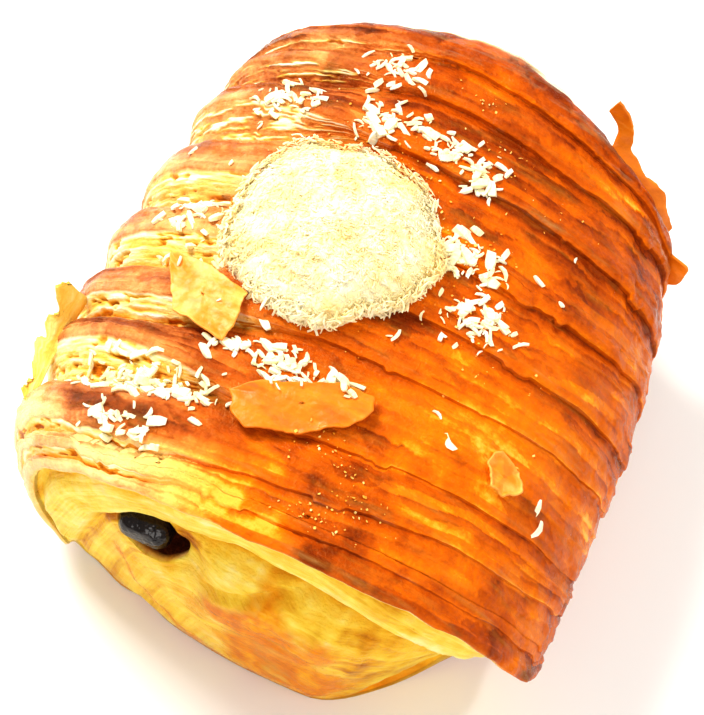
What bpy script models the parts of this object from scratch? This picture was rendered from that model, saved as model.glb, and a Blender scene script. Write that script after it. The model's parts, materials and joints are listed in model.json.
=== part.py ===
"""Danish pastry: a laminated roll with scored crust strips, a chocolate stick and a coconut mound.

Across the roll is X, along the roll is Y and up is Z. The roll's open face with the
chocolate stick looks towards -Y. Lengths below are in millimetres.
"""
import math

import bmesh
import bpy
import numpy as np
from mathutils import Matrix, Vector
from mathutils.bvhtree import BVHTree

MM = 0.001

# Body of the roll
HALF_LENGTH = 50.0
HALF_WIDTH_LEFT = 43.8
HALF_WIDTH_RIGHT = 49.6
BARREL_LEFT = 2.9
BARREL_RIGHT = 1.5
NEAR_LEFT_TAPER = 8.5
FAR_LEFT_TAPER = 2.2
FAR_RIGHT_TAPER = 6.5
CROWN_HEIGHT = 50.0
WIDEST_AT = 0.44
UPPER_POWER = 2.35
LOWER_POWER = 2.2
AROUND = 46

# Angles round the roll at which strip positions are given: 0 is the right side, 90 the crown
LIP_ANGLES = (20.0, 62.0, 90.0, 122.0, 165.0)

# Near lip of each crust strip along Y at those angles
LIPS = (
    (-41.5, -44.0, -46.5, -47.2, -45.0),
    (-33.0, -36.5, -41.0, -43.0, -41.5),
    (-26.0, -28.5, -31.0, -27.0, -26.0),
    (-11.0, -13.5, -14.5, -17.5, -16.5),
    (-1.5, -3.0, -3.0, -3.5, -4.0),
    (11.5, 9.5, 9.0, 11.0, 10.5),
    (24.0, 24.5, 26.0, 28.5, 28.0),
    (37.5, 36.5, 40.0, 40.0, 39.0),
    (42.0, 45.5, 49.6, 47.6, 44.2),
)
GROOVE_RIGHT = 0.6
GROOVE_LEFT = 3.3
STEP_RIGHT = 0.5
FLANK_SHARE_LEFT = 0.42
LIP_RISE = 0.55

# How far each groove and lip fades on the right, from the near end to the far end
CALM_RIGHT = (0.7, 0.7, 0.7, 0.55, 0.3, 0.1, 0.0, 0.0, 0.0)

# Ends of the crust along Y, the far one at angles of its own
NEAR_RIM = (-46.0, -49.0, -50.5, -50.5, -47.5)
FAR_ANGLES = (20.0, 35.0, 50.0, 62.0, 75.0, 90.0, 122.0, 165.0)
FAR_RIM = (46.5, 46.5, 49.0, 52.8, 56.3, 58.0, 53.0, 47.5)

# Open faces at the two ends
FACE_NEAR = -46.0
FACE_FAR = 49.0
FACE_BULGE = 7.8
BAND_BULGE = 3.4
FACE_RECESS_RIGHT = 14.0
SEAM_DEPTH = 2.0

# Fold line across an open face, between the rolled band and the lobe: x and z
SEAM_LINE = (
    (-29.0, 3.0),
    (-27.5, 12.0),
    (-23.8, 24.5),
    (-17.0, 30.8),
    (-9.0, 34.0),
    (0.0, 36.0),
    (10.0, 35.5),
    (19.0, 33.0),
    (28.0, 29.5),
    (35.0, 25.5),
)

# Chocolate stick
STICK_X = -16.5
STICK_Z = 27.0
STICK_WIDTH = 9.4
STICK_HEIGHT = 6.0
STICK_NEAR = -50.0
STICK_FAR = 50.0
STICK_EDGE = 2.7
STICK_GAP = 0.4
MOUTH_OFFSET = 0.5
MOUTH_WIDTH = 11.8
MOUTH_HEIGHT = 7.4
MOUTH_POWER = 2.8
MOUTH_POINT = 1.7
MOUTH_DEPTH = 6.0

# Coconut mound on the crown
MOUND_X = -9.6
MOUND_Y = 3.8
MOUND_RADIUS = 17.6
MOUND_HEIGHT = 6.4
MOUND_GAP = 0.35
MOUND_SHREDS = 96

# Coconut shreds
SHRED_LENGTH = 3.4
SHRED_WIDTH = 0.95
SHRED_THICKNESS = 0.7

# Groups of shreds on the crust: centre x, centre y, half width, half depth, number
SHRED_GROUPS = (
    (-13.6, 42.0, 5.0, 4.5, 8),
    (-28.6, 28.0, 5.5, 4.0, 7),
    (-11.0, 28.5, 6.0, 4.0, 9),
    (0.5, 29.0, 5.0, 4.0, 6),
    (8.5, 26.5, 4.0, 4.5, 6),
    (14.4, 11.3, 6.0, 4.0, 6),
    (18.2, 0.9, 6.5, 5.0, 8),
    (-31.5, 1.5, 4.5, 5.0, 5),
    (-7.0, -23.0, 8.5, 4.0, 9),
    (-24.8, -32.5, 12.0, 4.0, 15),
    (-26.5, -41.0, 6.0, 3.0, 5),
)

# Loose crust flakes lying on the strips: corners in x, y and height over the crust
SQUARE_FLAKE = (
    (-32.1, -10.0, 1.1),
    (-25.4, -10.9, 1.9),
    (-16.9, -13.5, 1.5),
    (-16.4, -17.8, 1.7),
    (-16.8, -22.6, 1.2),
    (-21.6, -22.3, 1.6),
    (-26.8, -20.3, 1.3),
    (-29.6, -15.4, 1.4),
)
LONG_FLAKE = (
    (-12.0, -30.4, 1.1),
    (-7.5, -27.2, 1.5),
    (-1.9, -25.0, 1.6),
    (4.2, -21.8, 1.8),
    (8.9, -21.5, 1.5),
    (9.4, -24.0, 1.9),
    (7.9, -27.6, 1.4),
    (1.3, -32.1, 1.3),
    (-7.2, -35.6, 1.1),
    (-10.3, -33.4, 1.2),
)
TORN_FLAKE = (
    (29.2, -21.5, 0.8),
    (30.7, -19.0, 1.4),
    (34.6, -19.5, 0.9),
    (35.6, -22.6, 1.5),
    (33.3, -25.2, 1.1),
    (31.3, -24.8, 1.3),
)
FLAKE_THICKNESS = 0.7

# Torn sheets that stand off the crust: foot and free edge of each
FIN_FOOT = (
    (23.1, 52.0, 49.9),
    (26.3, 51.5, 46.0),
    (26.4, 48.6, 42.0),
    (31.4, 46.6, 38.4),
    (37.2, 45.4, 34.4),
    (41.0, 45.2, 29.0),
)
FIN_EDGE = (
    (24.2, 52.0, 53.3),
    (27.7, 51.8, 49.4),
    (29.9, 51.2, 43.4),
    (33.3, 50.2, 40.4),
    (37.6, 49.4, 38.5),
    (42.2, 48.0, 31.0),
)
BARB_FOOT = ((42.6, 43.0, 31.5), (42.8, 41.0, 28.5), (43.0, 39.0, 25.5))
BARB_EDGE = ((44.2, 42.0, 32.2), (48.3, 41.0, 31.4), (47.4, 39.8, 28.0))
FRILL_FOOT = (
    (-43.0, -17.5, 33.0),
    (-43.3, -22.0, 32.0),
    (-43.4, -28.0, 31.0),
    (-43.0, -34.0, 30.5),
    (-42.7, -39.0, 30.0),
)
FRILL_EDGE = (
    (-46.0, -18.5, 37.8),
    (-46.9, -21.5, 36.0),
    (-46.9, -26.0, 32.5),
    (-46.2, -31.0, 30.5),
    (-44.9, -37.0, 30.0),
)
SHEET_THICKNESS = 0.9

CUBE_CORNERS = [(x, y, z) for x in (-0.5, 0.5) for y in (-0.5, 0.5) for z in (-0.5, 0.5)]
CRUST_SEED = 11
MOUND_SEED = 5


def smooth(a, b, x):
    """Rises from 0 at a to 1 at b."""
    f = np.clip((np.asarray(x, dtype=float) - a) / (b - a), 0.0, 1.0)
    return f * f * (3.0 - 2.0 * f)


def waves(x, y, period, phase):
    """Uneven waviness between about -1 and 1."""
    a = np.sin(2.0 * math.pi * x / period + phase)
    b = np.sin(2.0 * math.pi * x / (period * 0.43) + 1.7 * phase + 0.9 * y)
    c = np.sin(2.0 * math.pi * x / (period * 0.23) + 2.9 * phase + 2.3 * y)
    return 0.5 * a + 0.32 * b + 0.18 * c


def by_angle(values, deg):
    """Value at an angle round the roll from values given at the strip angles."""
    return np.interp(deg, LIP_ANGLES, values)


def half_width(t, left):
    """Half width of the roll at t, which runs from -1 at the near end to 1 at the far end."""
    t = np.clip(t, -1.1, 1.1)
    corner = np.clip((-t - 0.76) / 0.24, 0.0, 1.0) ** 1.6
    wide_left = HALF_WIDTH_LEFT + BARREL_LEFT * (1.0 - t * t) - NEAR_LEFT_TAPER * corner
    wide_left = wide_left - FAR_LEFT_TAPER * np.clip((t - 0.6) / 0.4, 0.0, 1.0) ** 2
    taper = np.clip((t + 0.1) / 1.1, 0.0, 1.0) ** 2
    wide_right = HALF_WIDTH_RIGHT + BARREL_RIGHT * (1.0 - t * t) - FAR_RIGHT_TAPER * taper
    return np.where(left, wide_left, wide_right)


def crown(t):
    """Height of the roll at t."""
    return CROWN_HEIGHT - 1.7 * t * t


def section(deg, y):
    """Point x, z on the plain roll at an angle and a place along Y."""
    t = y / HALF_LENGTH
    rad = np.radians(deg)
    c = np.cos(rad)
    s = np.sin(rad)
    top = crown(t)
    mid = WIDEST_AT * top
    wide = half_width(t, c < 0.0)
    power = np.where(s >= 0.0, UPPER_POWER, LOWER_POWER)
    x = np.sign(c) * np.abs(c) ** (2.0 / power) * wide
    lift = np.abs(s) ** (2.0 / power)
    z = np.where(s >= 0.0, mid + (top - mid) * lift, mid - 1.22 * mid * lift)
    return x, z


def outward(deg, y):
    """Outward direction in the X-Z plane."""
    x0, z0 = section(deg - 1.5, y)
    x1, z1 = section(deg + 1.5, y)
    dx = x1 - x0
    dz = z1 - z0
    size = np.maximum(np.hypot(dx, dz), 1e-6)
    return dz / size, -dx / size


def crust_point(deg, y, rise):
    """Point on the roll, moved outwards by rise and kept above the flat underside."""
    x, z = section(deg, y)
    nx, nz = outward(deg, y)
    return np.stack([x + rise * nx, y + 0.0 * x, np.maximum(z + rise * nz, 0.0)], axis=-1)


def relief_share(deg):
    """Strips fade out towards the flat underside."""
    return smooth(-52.0, -18.0, deg) * (1.0 - smooth(198.0, 232.0, deg))


def leftness(deg):
    """0 on the right and 1 on the left, where the strips have slid apart."""
    return smooth(92.0, 132.0, deg)


def blister(deg, y):
    """Broad raised blisters of the crust."""
    x, z = section(deg, y)
    main = 1.3 * np.exp(-((x - 21.0) / 11.0) ** 2 - ((y + 20.0) / 5.5) ** 2)
    small = 0.8 * np.exp(-((x - 5.0) / 8.0) ** 2 - ((y + 36.0) / 3.5) ** 2)
    back = 0.9 * np.exp(-((x - 16.0) / 9.0) ** 2 - ((y - 44.0) / 4.5) ** 2)
    return main + small + back


def strip_stations(deg, seat):
    """Places along Y and rises that make the strips, as rows from the near rim to the far rim.

    A seat has no undercut and its lips stand a little forward, so that what is cut to it is clear.
    """
    share = relief_share(deg)
    left = leftness(deg)
    groove = (GROOVE_RIGHT + (GROOVE_LEFT - GROOVE_RIGHT) * left) * share
    rim = by_angle(NEAR_RIM, deg)
    rows = [(rim, -1.1 * share), (rim - 0.35 * share, 0.1 * share)]
    lip = rim
    top = LIP_RISE * share
    for k, values in enumerate(LIPS):
        after = by_angle(values, deg) + 0.5 * share * waves(deg, k, 74.0, 1.3 * k)
        pitch = after - lip
        flank = FLANK_SHARE_LEFT * pitch * left + STEP_RIGHT * share * (1.0 - left)
        calm = 1.0 - CALM_RIGHT[k] * smooth(105.0, 60.0, deg)
        depth = groove * calm * np.clip(pitch / 7.0, 0.35, 1.15)
        valley = after - flank
        width = valley - lip
        half = lip + 0.55 * width
        height = 0.35 * share * waves(deg, 2 * k, 61.0, 0.7 * k)
        crest = 0.25 * share * LIP_RISE + blister(deg, half) + height
        nose = after - 0.3 * share
        if seat:
            foot = np.minimum(valley, after - 0.8)
            depth = -crest + (depth + crest) * (foot - half) / (valley - half)
            valley = foot
            flank = np.maximum(flank, 0.8)
            nose = after - 0.75
        rows.append((lip + np.minimum(1.1, 0.25 * width), top))
        rows.append((half, crest))
        rows.append((valley, -depth))
        rows.append((np.minimum(after - 0.5 * flank, nose - 0.02) if seat else after - 0.5 * flank,
                     -0.5 * depth))
        rows.append((nose, 0.15 * share + 0.5 * height))
        lip = after
        top = LIP_RISE * share * calm + height
    far = np.interp(deg, FAR_ANGLES, FAR_RIM)
    rows.append((lip + 0.3 * (far - lip), top))
    rows.append((far - 0.8, 0.3 * share))
    rows.append((far, -1.2 * share))
    return rows


def seam_distance(x, z):
    """Distance from the fold line in the plane of a face, above zero on the band's side."""
    nearest = np.full(np.shape(x), 1e9)
    signed = np.zeros(np.shape(x))
    for (x0, z0), (x1, z1) in zip(SEAM_LINE[:-1], SEAM_LINE[1:]):
        dx = x1 - x0
        dz = z1 - z0
        f = np.clip(((x - x0) * dx + (z - z0) * dz) / (dx * dx + dz * dz), 0.0, 1.0)
        rx = x - x0 - f * dx
        rz = z - z0 - f * dz
        size = np.hypot(rx, rz)
        closer = size < nearest
        nearest = np.where(closer, size, nearest)
        signed = np.where(closer, np.where(dx * rz - dz * rx > 0.0, size, -size), signed)
    return signed


def lobe_share(x):
    """How far the lobe of an open face bulges across the roll, as a share of its most."""
    return np.where(x < 8.0, np.exp(-((x - 8.0) / 31.5) ** 2), np.exp(-((x - 8.0) / 26.0) ** 4))


def face_depth(x, z, near):
    """Place along Y of an open face: a rolled band over the fold line and a bulging lobe under it."""
    plane = FACE_NEAR if near else FACE_FAR
    out = -1.0 if near else 1.0
    size = 1.0 if near else 0.6
    off = seam_distance(x, z)
    inside = np.maximum(-off, 0.0)
    above = np.maximum(off, 0.0)
    lobe = FACE_BULGE * lobe_share(x) * (1.0 - np.exp(-(inside / 3.6) ** 1.3))
    lobe = lobe * (1.0 - 0.7 * np.exp(-((x + 9.5) / 5.0) ** 2 - ((z - 29.0) / 4.2) ** 2))
    band = BAND_BULGE * np.exp(-((above - 6.5) / 4.8) ** 4) * smooth(48.0, 38.0, x)
    cut = FACE_RECESS_RIGHT * smooth(18.0, 46.0, x) * smooth(44.0, 6.0, z)
    seam = SEAM_DEPTH * np.exp(-(off / 2.8) ** 2) * smooth(40.0, 33.0, x) * smooth(0.0, 6.0, z)
    plies = 0.35 * np.sin(2.0 * math.pi * (z - 0.12 * x) / 4.6 + 0.6 * np.sin(x / 6.0))
    snug = 2.2 * np.exp(-(off / 3.0) ** 2) * smooth(-15.0, -21.0, x) * smooth(0.0, 6.0, z)
    return plane + out * (size * (lobe + band - cut + snug) - seam + plies)


def ellipse(deg, x, z, width, height, power):
    """Rounded section of the stick or of its slot."""
    rad = np.radians(deg)
    c = np.cos(rad)
    s = np.sin(rad)
    px = x + 0.5 * width * np.sign(c) * np.abs(c) ** (2.0 / power)
    pz = z + 0.5 * height * np.sign(s) * np.abs(s) ** (2.0 / power)
    return px, pz


def mouth(deg):
    """Outline of the slot's mouth, drawn out to a point beside the stick."""
    px, pz = ellipse(deg, STICK_X + MOUTH_OFFSET, STICK_Z, MOUTH_WIDTH, MOUTH_HEIGHT, MOUTH_POWER)
    point = np.clip(np.cos(np.radians(deg)), 0.0, 1.0) ** 8
    return px + MOUTH_POINT * point, pz + 0.3 * MOUTH_POINT * point


def face_rings(deg, rim, near):
    """Rings from the crust's rim in to the mouth of the slot."""
    under = 1.6 * relief_share(deg)
    shares = (0.05, 0.13, 0.21, 0.3, 0.39, 0.48, 0.57, 0.66, 0.75, 0.84, 0.92, 1.0)
    mouth_x, mouth_z = mouth(deg)
    rings = []
    for share in shares:
        x = rim[:, 0] + (mouth_x - rim[:, 0]) * share
        z = rim[:, 2] + (mouth_z - rim[:, 2]) * share
        y = face_depth(x, z, near)
        tuck = 1.0 - smooth(0.0, 0.3, share)
        y = y * (1.0 - tuck) + tuck * (rim[:, 1] + (under if near else -under))
        rings.append(np.stack([x, y, z], axis=-1))
    return rings


def slot_ring(deg, y, fit):
    """Ring of the slot: the open mouth blends to a close fit round the stick."""
    tight_x, tight_z = ellipse(deg, STICK_X, STICK_Z, STICK_WIDTH + 2.0 * STICK_GAP,
                               STICK_HEIGHT + 2.0 * STICK_GAP, 3.2)
    wide_x, wide_z = mouth(deg)
    x = wide_x + (tight_x - wide_x) * fit
    z = wide_z + (tight_z - wide_z) * fit
    return np.stack([x, y + 0.0 * x, z], axis=-1)


def roll_rings(grow=0.0):
    """All rings of the roll, closed through the slot, or of the grown form that clears it."""
    deg = -90.0 + 360.0 * (np.arange(AROUND) + 0.5) / AROUND
    outer = []
    near_rim = by_angle(NEAR_RIM, deg)
    far_rim = np.interp(deg, FAR_ANGLES, FAR_RIM)
    near_limit = face_depth(*section(deg, near_rim), True) + 1.0
    far_limit = face_depth(*section(deg, far_rim), False) - 1.0
    low = np.maximum(1.0 - relief_share(deg), smooth(28.0, -15.0, deg))
    for y, rise in strip_stations(deg, grow > 0.0):
        share = (y - near_rim) / (far_rim - near_rim)
        y = y + low * (near_limit + share * (far_limit - near_limit) - y)
        outer.append(crust_point(deg, y, rise + grow))
    rings = list(outer)
    far = face_rings(deg, outer[-1], False)
    near = face_rings(deg, outer[0], True)
    rings.extend(far)
    rings.append(slot_ring(deg, FACE_FAR - MOUTH_DEPTH, 1.0))
    rings.append(slot_ring(deg, FACE_NEAR + MOUTH_DEPTH, 1.0))
    rings.extend(reversed(near))
    return rings


def mesh_from_rings(rings, close):
    """Vertices and faces of a tube of rings; close joins the last ring to the first."""
    count = len(rings[0])
    verts = np.concatenate(rings, axis=0)
    faces = []
    last = len(rings) if close else len(rings) - 1
    for i in range(last):
        a = i * count
        b = ((i + 1) % len(rings)) * count
        for j in range(count):
            k = (j + 1) % count
            faces.append((a + j, a + k, b + k, b + j))
    return verts, faces


def add_object(name, verts, faces, collection, material=None):
    """Mesh object from millimetre vertices, triangulated with outward faces."""
    mesh = bpy.data.meshes.new(name)
    mesh.from_pydata([tuple(float(v) * MM for v in p) for p in verts], [], [tuple(f) for f in faces])
    bm = bmesh.new()
    bm.from_mesh(mesh)
    bmesh.ops.remove_doubles(bm, verts=bm.verts, dist=1e-7)
    bmesh.ops.triangulate(bm, faces=bm.faces)
    bmesh.ops.recalc_face_normals(bm, faces=bm.faces)
    if bm.calc_volume(signed=True) < 0.0:
        bmesh.ops.reverse_faces(bm, faces=bm.faces)
    bm.to_mesh(mesh)
    bm.free()
    obj = bpy.data.objects.new(name, mesh)
    collection.objects.link(obj)
    if material is not None:
        obj.data.materials.append(material)
    return obj


def closed_rings(rings):
    """Rings joined in order, with a flat face at each end."""
    verts, faces = mesh_from_rings(rings, False)
    count = len(rings[0])
    faces.append(tuple(range(count)))
    faces.append(tuple(len(verts) - count + j for j in range(count)))
    return verts, faces


def plain_height(x, y):
    """Height of the plain roll over a point of the plan."""
    t = y / HALF_LENGTH
    top = float(crown(t))
    mid = WIDEST_AT * top
    wide = float(half_width(t, x < 0.0))
    inside = max(0.0, 1.0 - min(abs(x) / wide, 1.0) ** UPPER_POWER)
    return mid + (top - mid) * inside ** (1.0 / UPPER_POWER)


def add_plate(name, points, faces, thickness, collection):
    """Thin bent plate: an open surface thickened inwards by Solidify."""
    mesh = bpy.data.meshes.new(name)
    mesh.from_pydata([tuple(float(v) * MM for v in p) for p in points], [], faces)
    obj = bpy.data.objects.new(name, mesh)
    collection.objects.link(obj)
    shell = obj.modifiers.new("thickness", "SOLIDIFY")
    shell.thickness = thickness * MM
    shell.offset = -1.0
    return obj


def add_flake(name, corners, collection):
    """Loose flake of crust over the strips, lifted a little in its middle."""
    count = len(corners)
    middle = [sum(c[i] for c in corners) / count for i in range(3)]
    outline = list(corners) + [(middle[0], middle[1], middle[2] + 0.4)]
    points = [(x, y, plain_height(x, y) + lift) for x, y, lift in outline]
    turn = sum(corners[j - 1][0] * corners[j][1] - corners[j][0] * corners[j - 1][1] for j in range(count))
    faces = []
    for j in range(count):
        k = (j + 1) % count
        faces.append((j, k, count) if turn > 0.0 else (k, j, count))
    return add_plate(name, points, faces, FLAKE_THICKNESS + 0.5, collection)


def add_sheet(name, foot, edge, collection):
    """Torn sheet between its foot, which lies in the crust, and its free edge."""
    points = []
    faces = []
    for i, (a, b) in enumerate(zip(foot, edge)):
        points.extend((a, b))
        if i:
            faces.append((2 * i - 2, 2 * i - 1, 2 * i + 1, 2 * i))
    return add_plate(name, points, faces, SHEET_THICKNESS, collection)


def shred_matrix(centre, along, up, length):
    """Place, direction and size of one shred."""
    along = (along - along.dot(up) * up).normalized()
    side = up.cross(along)
    matrix = Matrix((along, side, up)).transposed().to_4x4()
    matrix = Matrix.Translation(centre) @ matrix
    return matrix @ Matrix.Diagonal((length, SHRED_WIDTH, SHRED_THICKNESS, 1.0))


def add_shred(name, matrix, collection):
    """One shred: a cube narrowed at one end."""
    mesh = bpy.data.meshes.new(name)
    bm = bmesh.new()
    made = bmesh.ops.create_cube(bm, size=1.0)
    for v in made["verts"]:
        if v.co.x > 0.0:
            v.co.y *= 0.7
            v.co.z *= 0.85
    bmesh.ops.transform(bm, matrix=Matrix.Scale(MM, 4) @ matrix, verts=bm.verts)
    bm.to_mesh(mesh)
    bm.free()
    obj = bpy.data.objects.new(name, mesh)
    collection.objects.link(obj)
    return obj


def in_mound(x, y, margin):
    """Whether a point of the plan is under the mound or within a margin of it."""
    return math.hypot(x - MOUND_X, y - MOUND_Y) < MOUND_RADIUS + margin


def surface_tree(verts, faces):
    """Search tree over triangles, in millimetres."""
    triangles = []
    for f in faces:
        for j in range(1, len(f) - 1):
            triangles.append((f[0], f[j], f[j + 1]))
    return BVHTree.FromPolygons([tuple(float(v) for v in p) for p in verts], triangles)


def ground(tree, x, y):
    """Highest point of the surface over a point of the plan, with its normal."""
    hit, normal, index, distance = tree.ray_cast(Vector((x, y, 120.0)), Vector((0.0, 0.0, -1.0)))
    if hit is None:
        return None, None
    if normal.z < 0.0:
        normal = -normal
    return hit, normal


def crust_shreds(tree, rng):
    """Shreds scattered in groups over the crust, half sunk in it and clear of the mound."""
    out = []
    for cx, cy, rx, ry, number in SHRED_GROUPS:
        placed = 0
        for attempt in range(200):
            if placed >= number:
                break
            x = cx + rx * rng.uniform(-1.0, 1.0)
            y = cy + ry * rng.uniform(-1.0, 1.0)
            length = SHRED_LENGTH * rng.uniform(0.65, 1.35)
            turn = rng.uniform(0.0, math.pi)
            if in_mound(x, y, 4.2 + 0.5 * length):
                continue
            hit, normal = ground(tree, x, y)
            if hit is None or normal.z < 0.55:
                continue
            along = Vector((math.cos(turn), math.sin(turn), 0.0))
            tilt = Vector((rng.uniform(-0.2, 0.2), rng.uniform(-0.2, 0.2), 0.0))
            up = (normal + tilt).normalized()
            centre = hit + up * 0.12 * SHRED_THICKNESS
            out.append(shred_matrix(centre, along, up, length))
            placed += 1
    return out


def mound_edge(angle):
    """Uneven plan radius of the mound."""
    return MOUND_RADIUS * (1.0 + 0.035 * math.sin(3.0 * angle + 0.8)
                           + 0.03 * math.sin(5.0 * angle + 2.1) + 0.02 * math.sin(9.0 * angle))


def mound_top(share):
    """Height share of the mound's top at a share of its radius."""
    return (1.0 - share ** 2.4) ** 0.62


def mound_core(rng):
    """Low uneven dome that dips below the crust it stands on."""
    around = 30
    shares = (1.0, 0.985, 0.93, 0.82, 0.66, 0.48, 0.28)
    rings = []
    floor = []
    for j in range(around):
        angle = 2.0 * math.pi * j / around
        radius = mound_edge(angle)
        x = MOUND_X + radius * math.cos(angle)
        y = MOUND_Y + radius * math.sin(angle)
        floor.append((x, y, plain_height(x, y) - 6.0))
    rings.append(np.array(floor))
    for share in shares:
        ring = []
        for j in range(around):
            angle = 2.0 * math.pi * j / around
            radius = mound_edge(angle) * share
            x = MOUND_X + radius * math.cos(angle)
            y = MOUND_Y + radius * math.sin(angle)
            bump = 0.45 * rng.uniform(-1.0, 1.0) if share < 0.98 else 0.0
            ring.append((x, y, plain_height(x, y) + MOUND_HEIGHT * mound_top(share) + bump))
        rings.append(np.array(ring))
    return closed_rings(rings)


def mound_shreds(clear_tree, rng):
    """Shreds that lie on the mound and stick out round its edge, clear of the crust."""
    out = []
    for attempt in range(4000):
        if len(out) >= MOUND_SHREDS:
            break
        share = math.sqrt(rng.uniform(0.02, 1.0))
        if len(out) % 2:
            share = rng.uniform(0.9, 1.02)
        angle = rng.uniform(0.0, 2.0 * math.pi)
        radius = mound_edge(angle) * share
        x = MOUND_X + radius * math.cos(angle)
        y = MOUND_Y + radius * math.sin(angle)
        top = MOUND_HEIGHT * mound_top(min(share, 0.995))
        if share > 0.9:
            top = MOUND_HEIGHT * rng.uniform(0.1, 0.8)
            x -= 0.5 * math.cos(angle)
            y -= 0.5 * math.sin(angle)
        z = plain_height(x, y) + top
        lean = smooth(0.3, 1.0, share)
        up = Vector((math.cos(angle) * lean, math.sin(angle) * lean, 1.0)).normalized()
        turn = rng.uniform(0.0, math.pi)
        along = Vector((math.cos(turn), math.sin(turn), 0.35 * rng.uniform(-1.0, 1.0)))
        length = SHRED_LENGTH * rng.uniform(0.7, 1.3)
        centre = Vector((x, y, z)) + up * 0.1
        matrix = shred_matrix(centre, along, up, length)
        clear = True
        for corner in CUBE_CORNERS:
            p = matrix @ Vector(corner)
            hit, normal = ground(clear_tree, p.x, p.y)
            if hit is None or p.z < hit.z + 0.15:
                clear = False
        if clear:
            out.append(matrix)
    return out


def fuse(target, collection, solver):
    """Join a collection of small pieces to a body by one Boolean union."""
    modifier = target.modifiers.new("fuse", "BOOLEAN")
    modifier.operation = "UNION"
    modifier.operand_type = "COLLECTION"
    modifier.collection = collection
    modifier.solver = solver
    apply_modifier(target, modifier.name)
    for obj in list(collection.objects):
        bpy.data.objects.remove(obj, do_unlink=True)


def apply_modifier(obj, name):
    """Turn the modified shape into the object's plain mesh."""
    graph = bpy.context.evaluated_depsgraph_get()
    graph.update()
    mesh = bpy.data.meshes.new_from_object(obj.evaluated_get(graph))
    obj.modifiers.remove(obj.modifiers[name])
    obj.data = mesh


def keep_body(obj):
    """Weld, then drop loose scraps and enclosed hollows by keeping the largest body."""
    bm = bmesh.new()
    bm.from_mesh(obj.data)
    bmesh.ops.triangulate(bm, faces=bm.faces)
    bmesh.ops.remove_doubles(bm, verts=bm.verts, dist=1e-7)
    bm.verts.ensure_lookup_table()
    seen = set()
    groups = []
    for start in bm.verts:
        if start.index in seen:
            continue
        stack = [start]
        seen.add(start.index)
        group = []
        while stack:
            v = stack.pop()
            group.append(v)
            for edge in v.link_edges:
                w = edge.other_vert(v)
                if w.index not in seen:
                    seen.add(w.index)
                    stack.append(w)
        groups.append(group)
    groups.sort(key=len, reverse=True)
    extra = [v for group in groups[1:] for v in group]
    bmesh.ops.delete(bm, geom=extra, context="VERTS")
    bm.to_mesh(obj.data)
    bm.free()


def principled(name, colour, roughness):
    """Plain coloured material."""
    material = bpy.data.materials.new(name)
    material.use_nodes = True
    shader = material.node_tree.nodes["Principled BSDF"]
    shader.inputs["Base Color"].default_value = (*colour, 1.0)
    shader.inputs["Roughness"].default_value = roughness
    return material


def stand_on_middle(collection):
    """Move everything so that the middle of its plan is over the origin."""
    bpy.context.view_layer.update()
    corners = [obj.matrix_world @ Vector(corner) for obj in collection.objects for corner in obj.bound_box]
    x = 0.5 * (min(p.x for p in corners) + max(p.x for p in corners))
    y = 0.5 * (min(p.y for p in corners) + max(p.y for p in corners))
    for obj in collection.objects:
        obj.location.x -= x
        obj.location.y -= y


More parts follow.
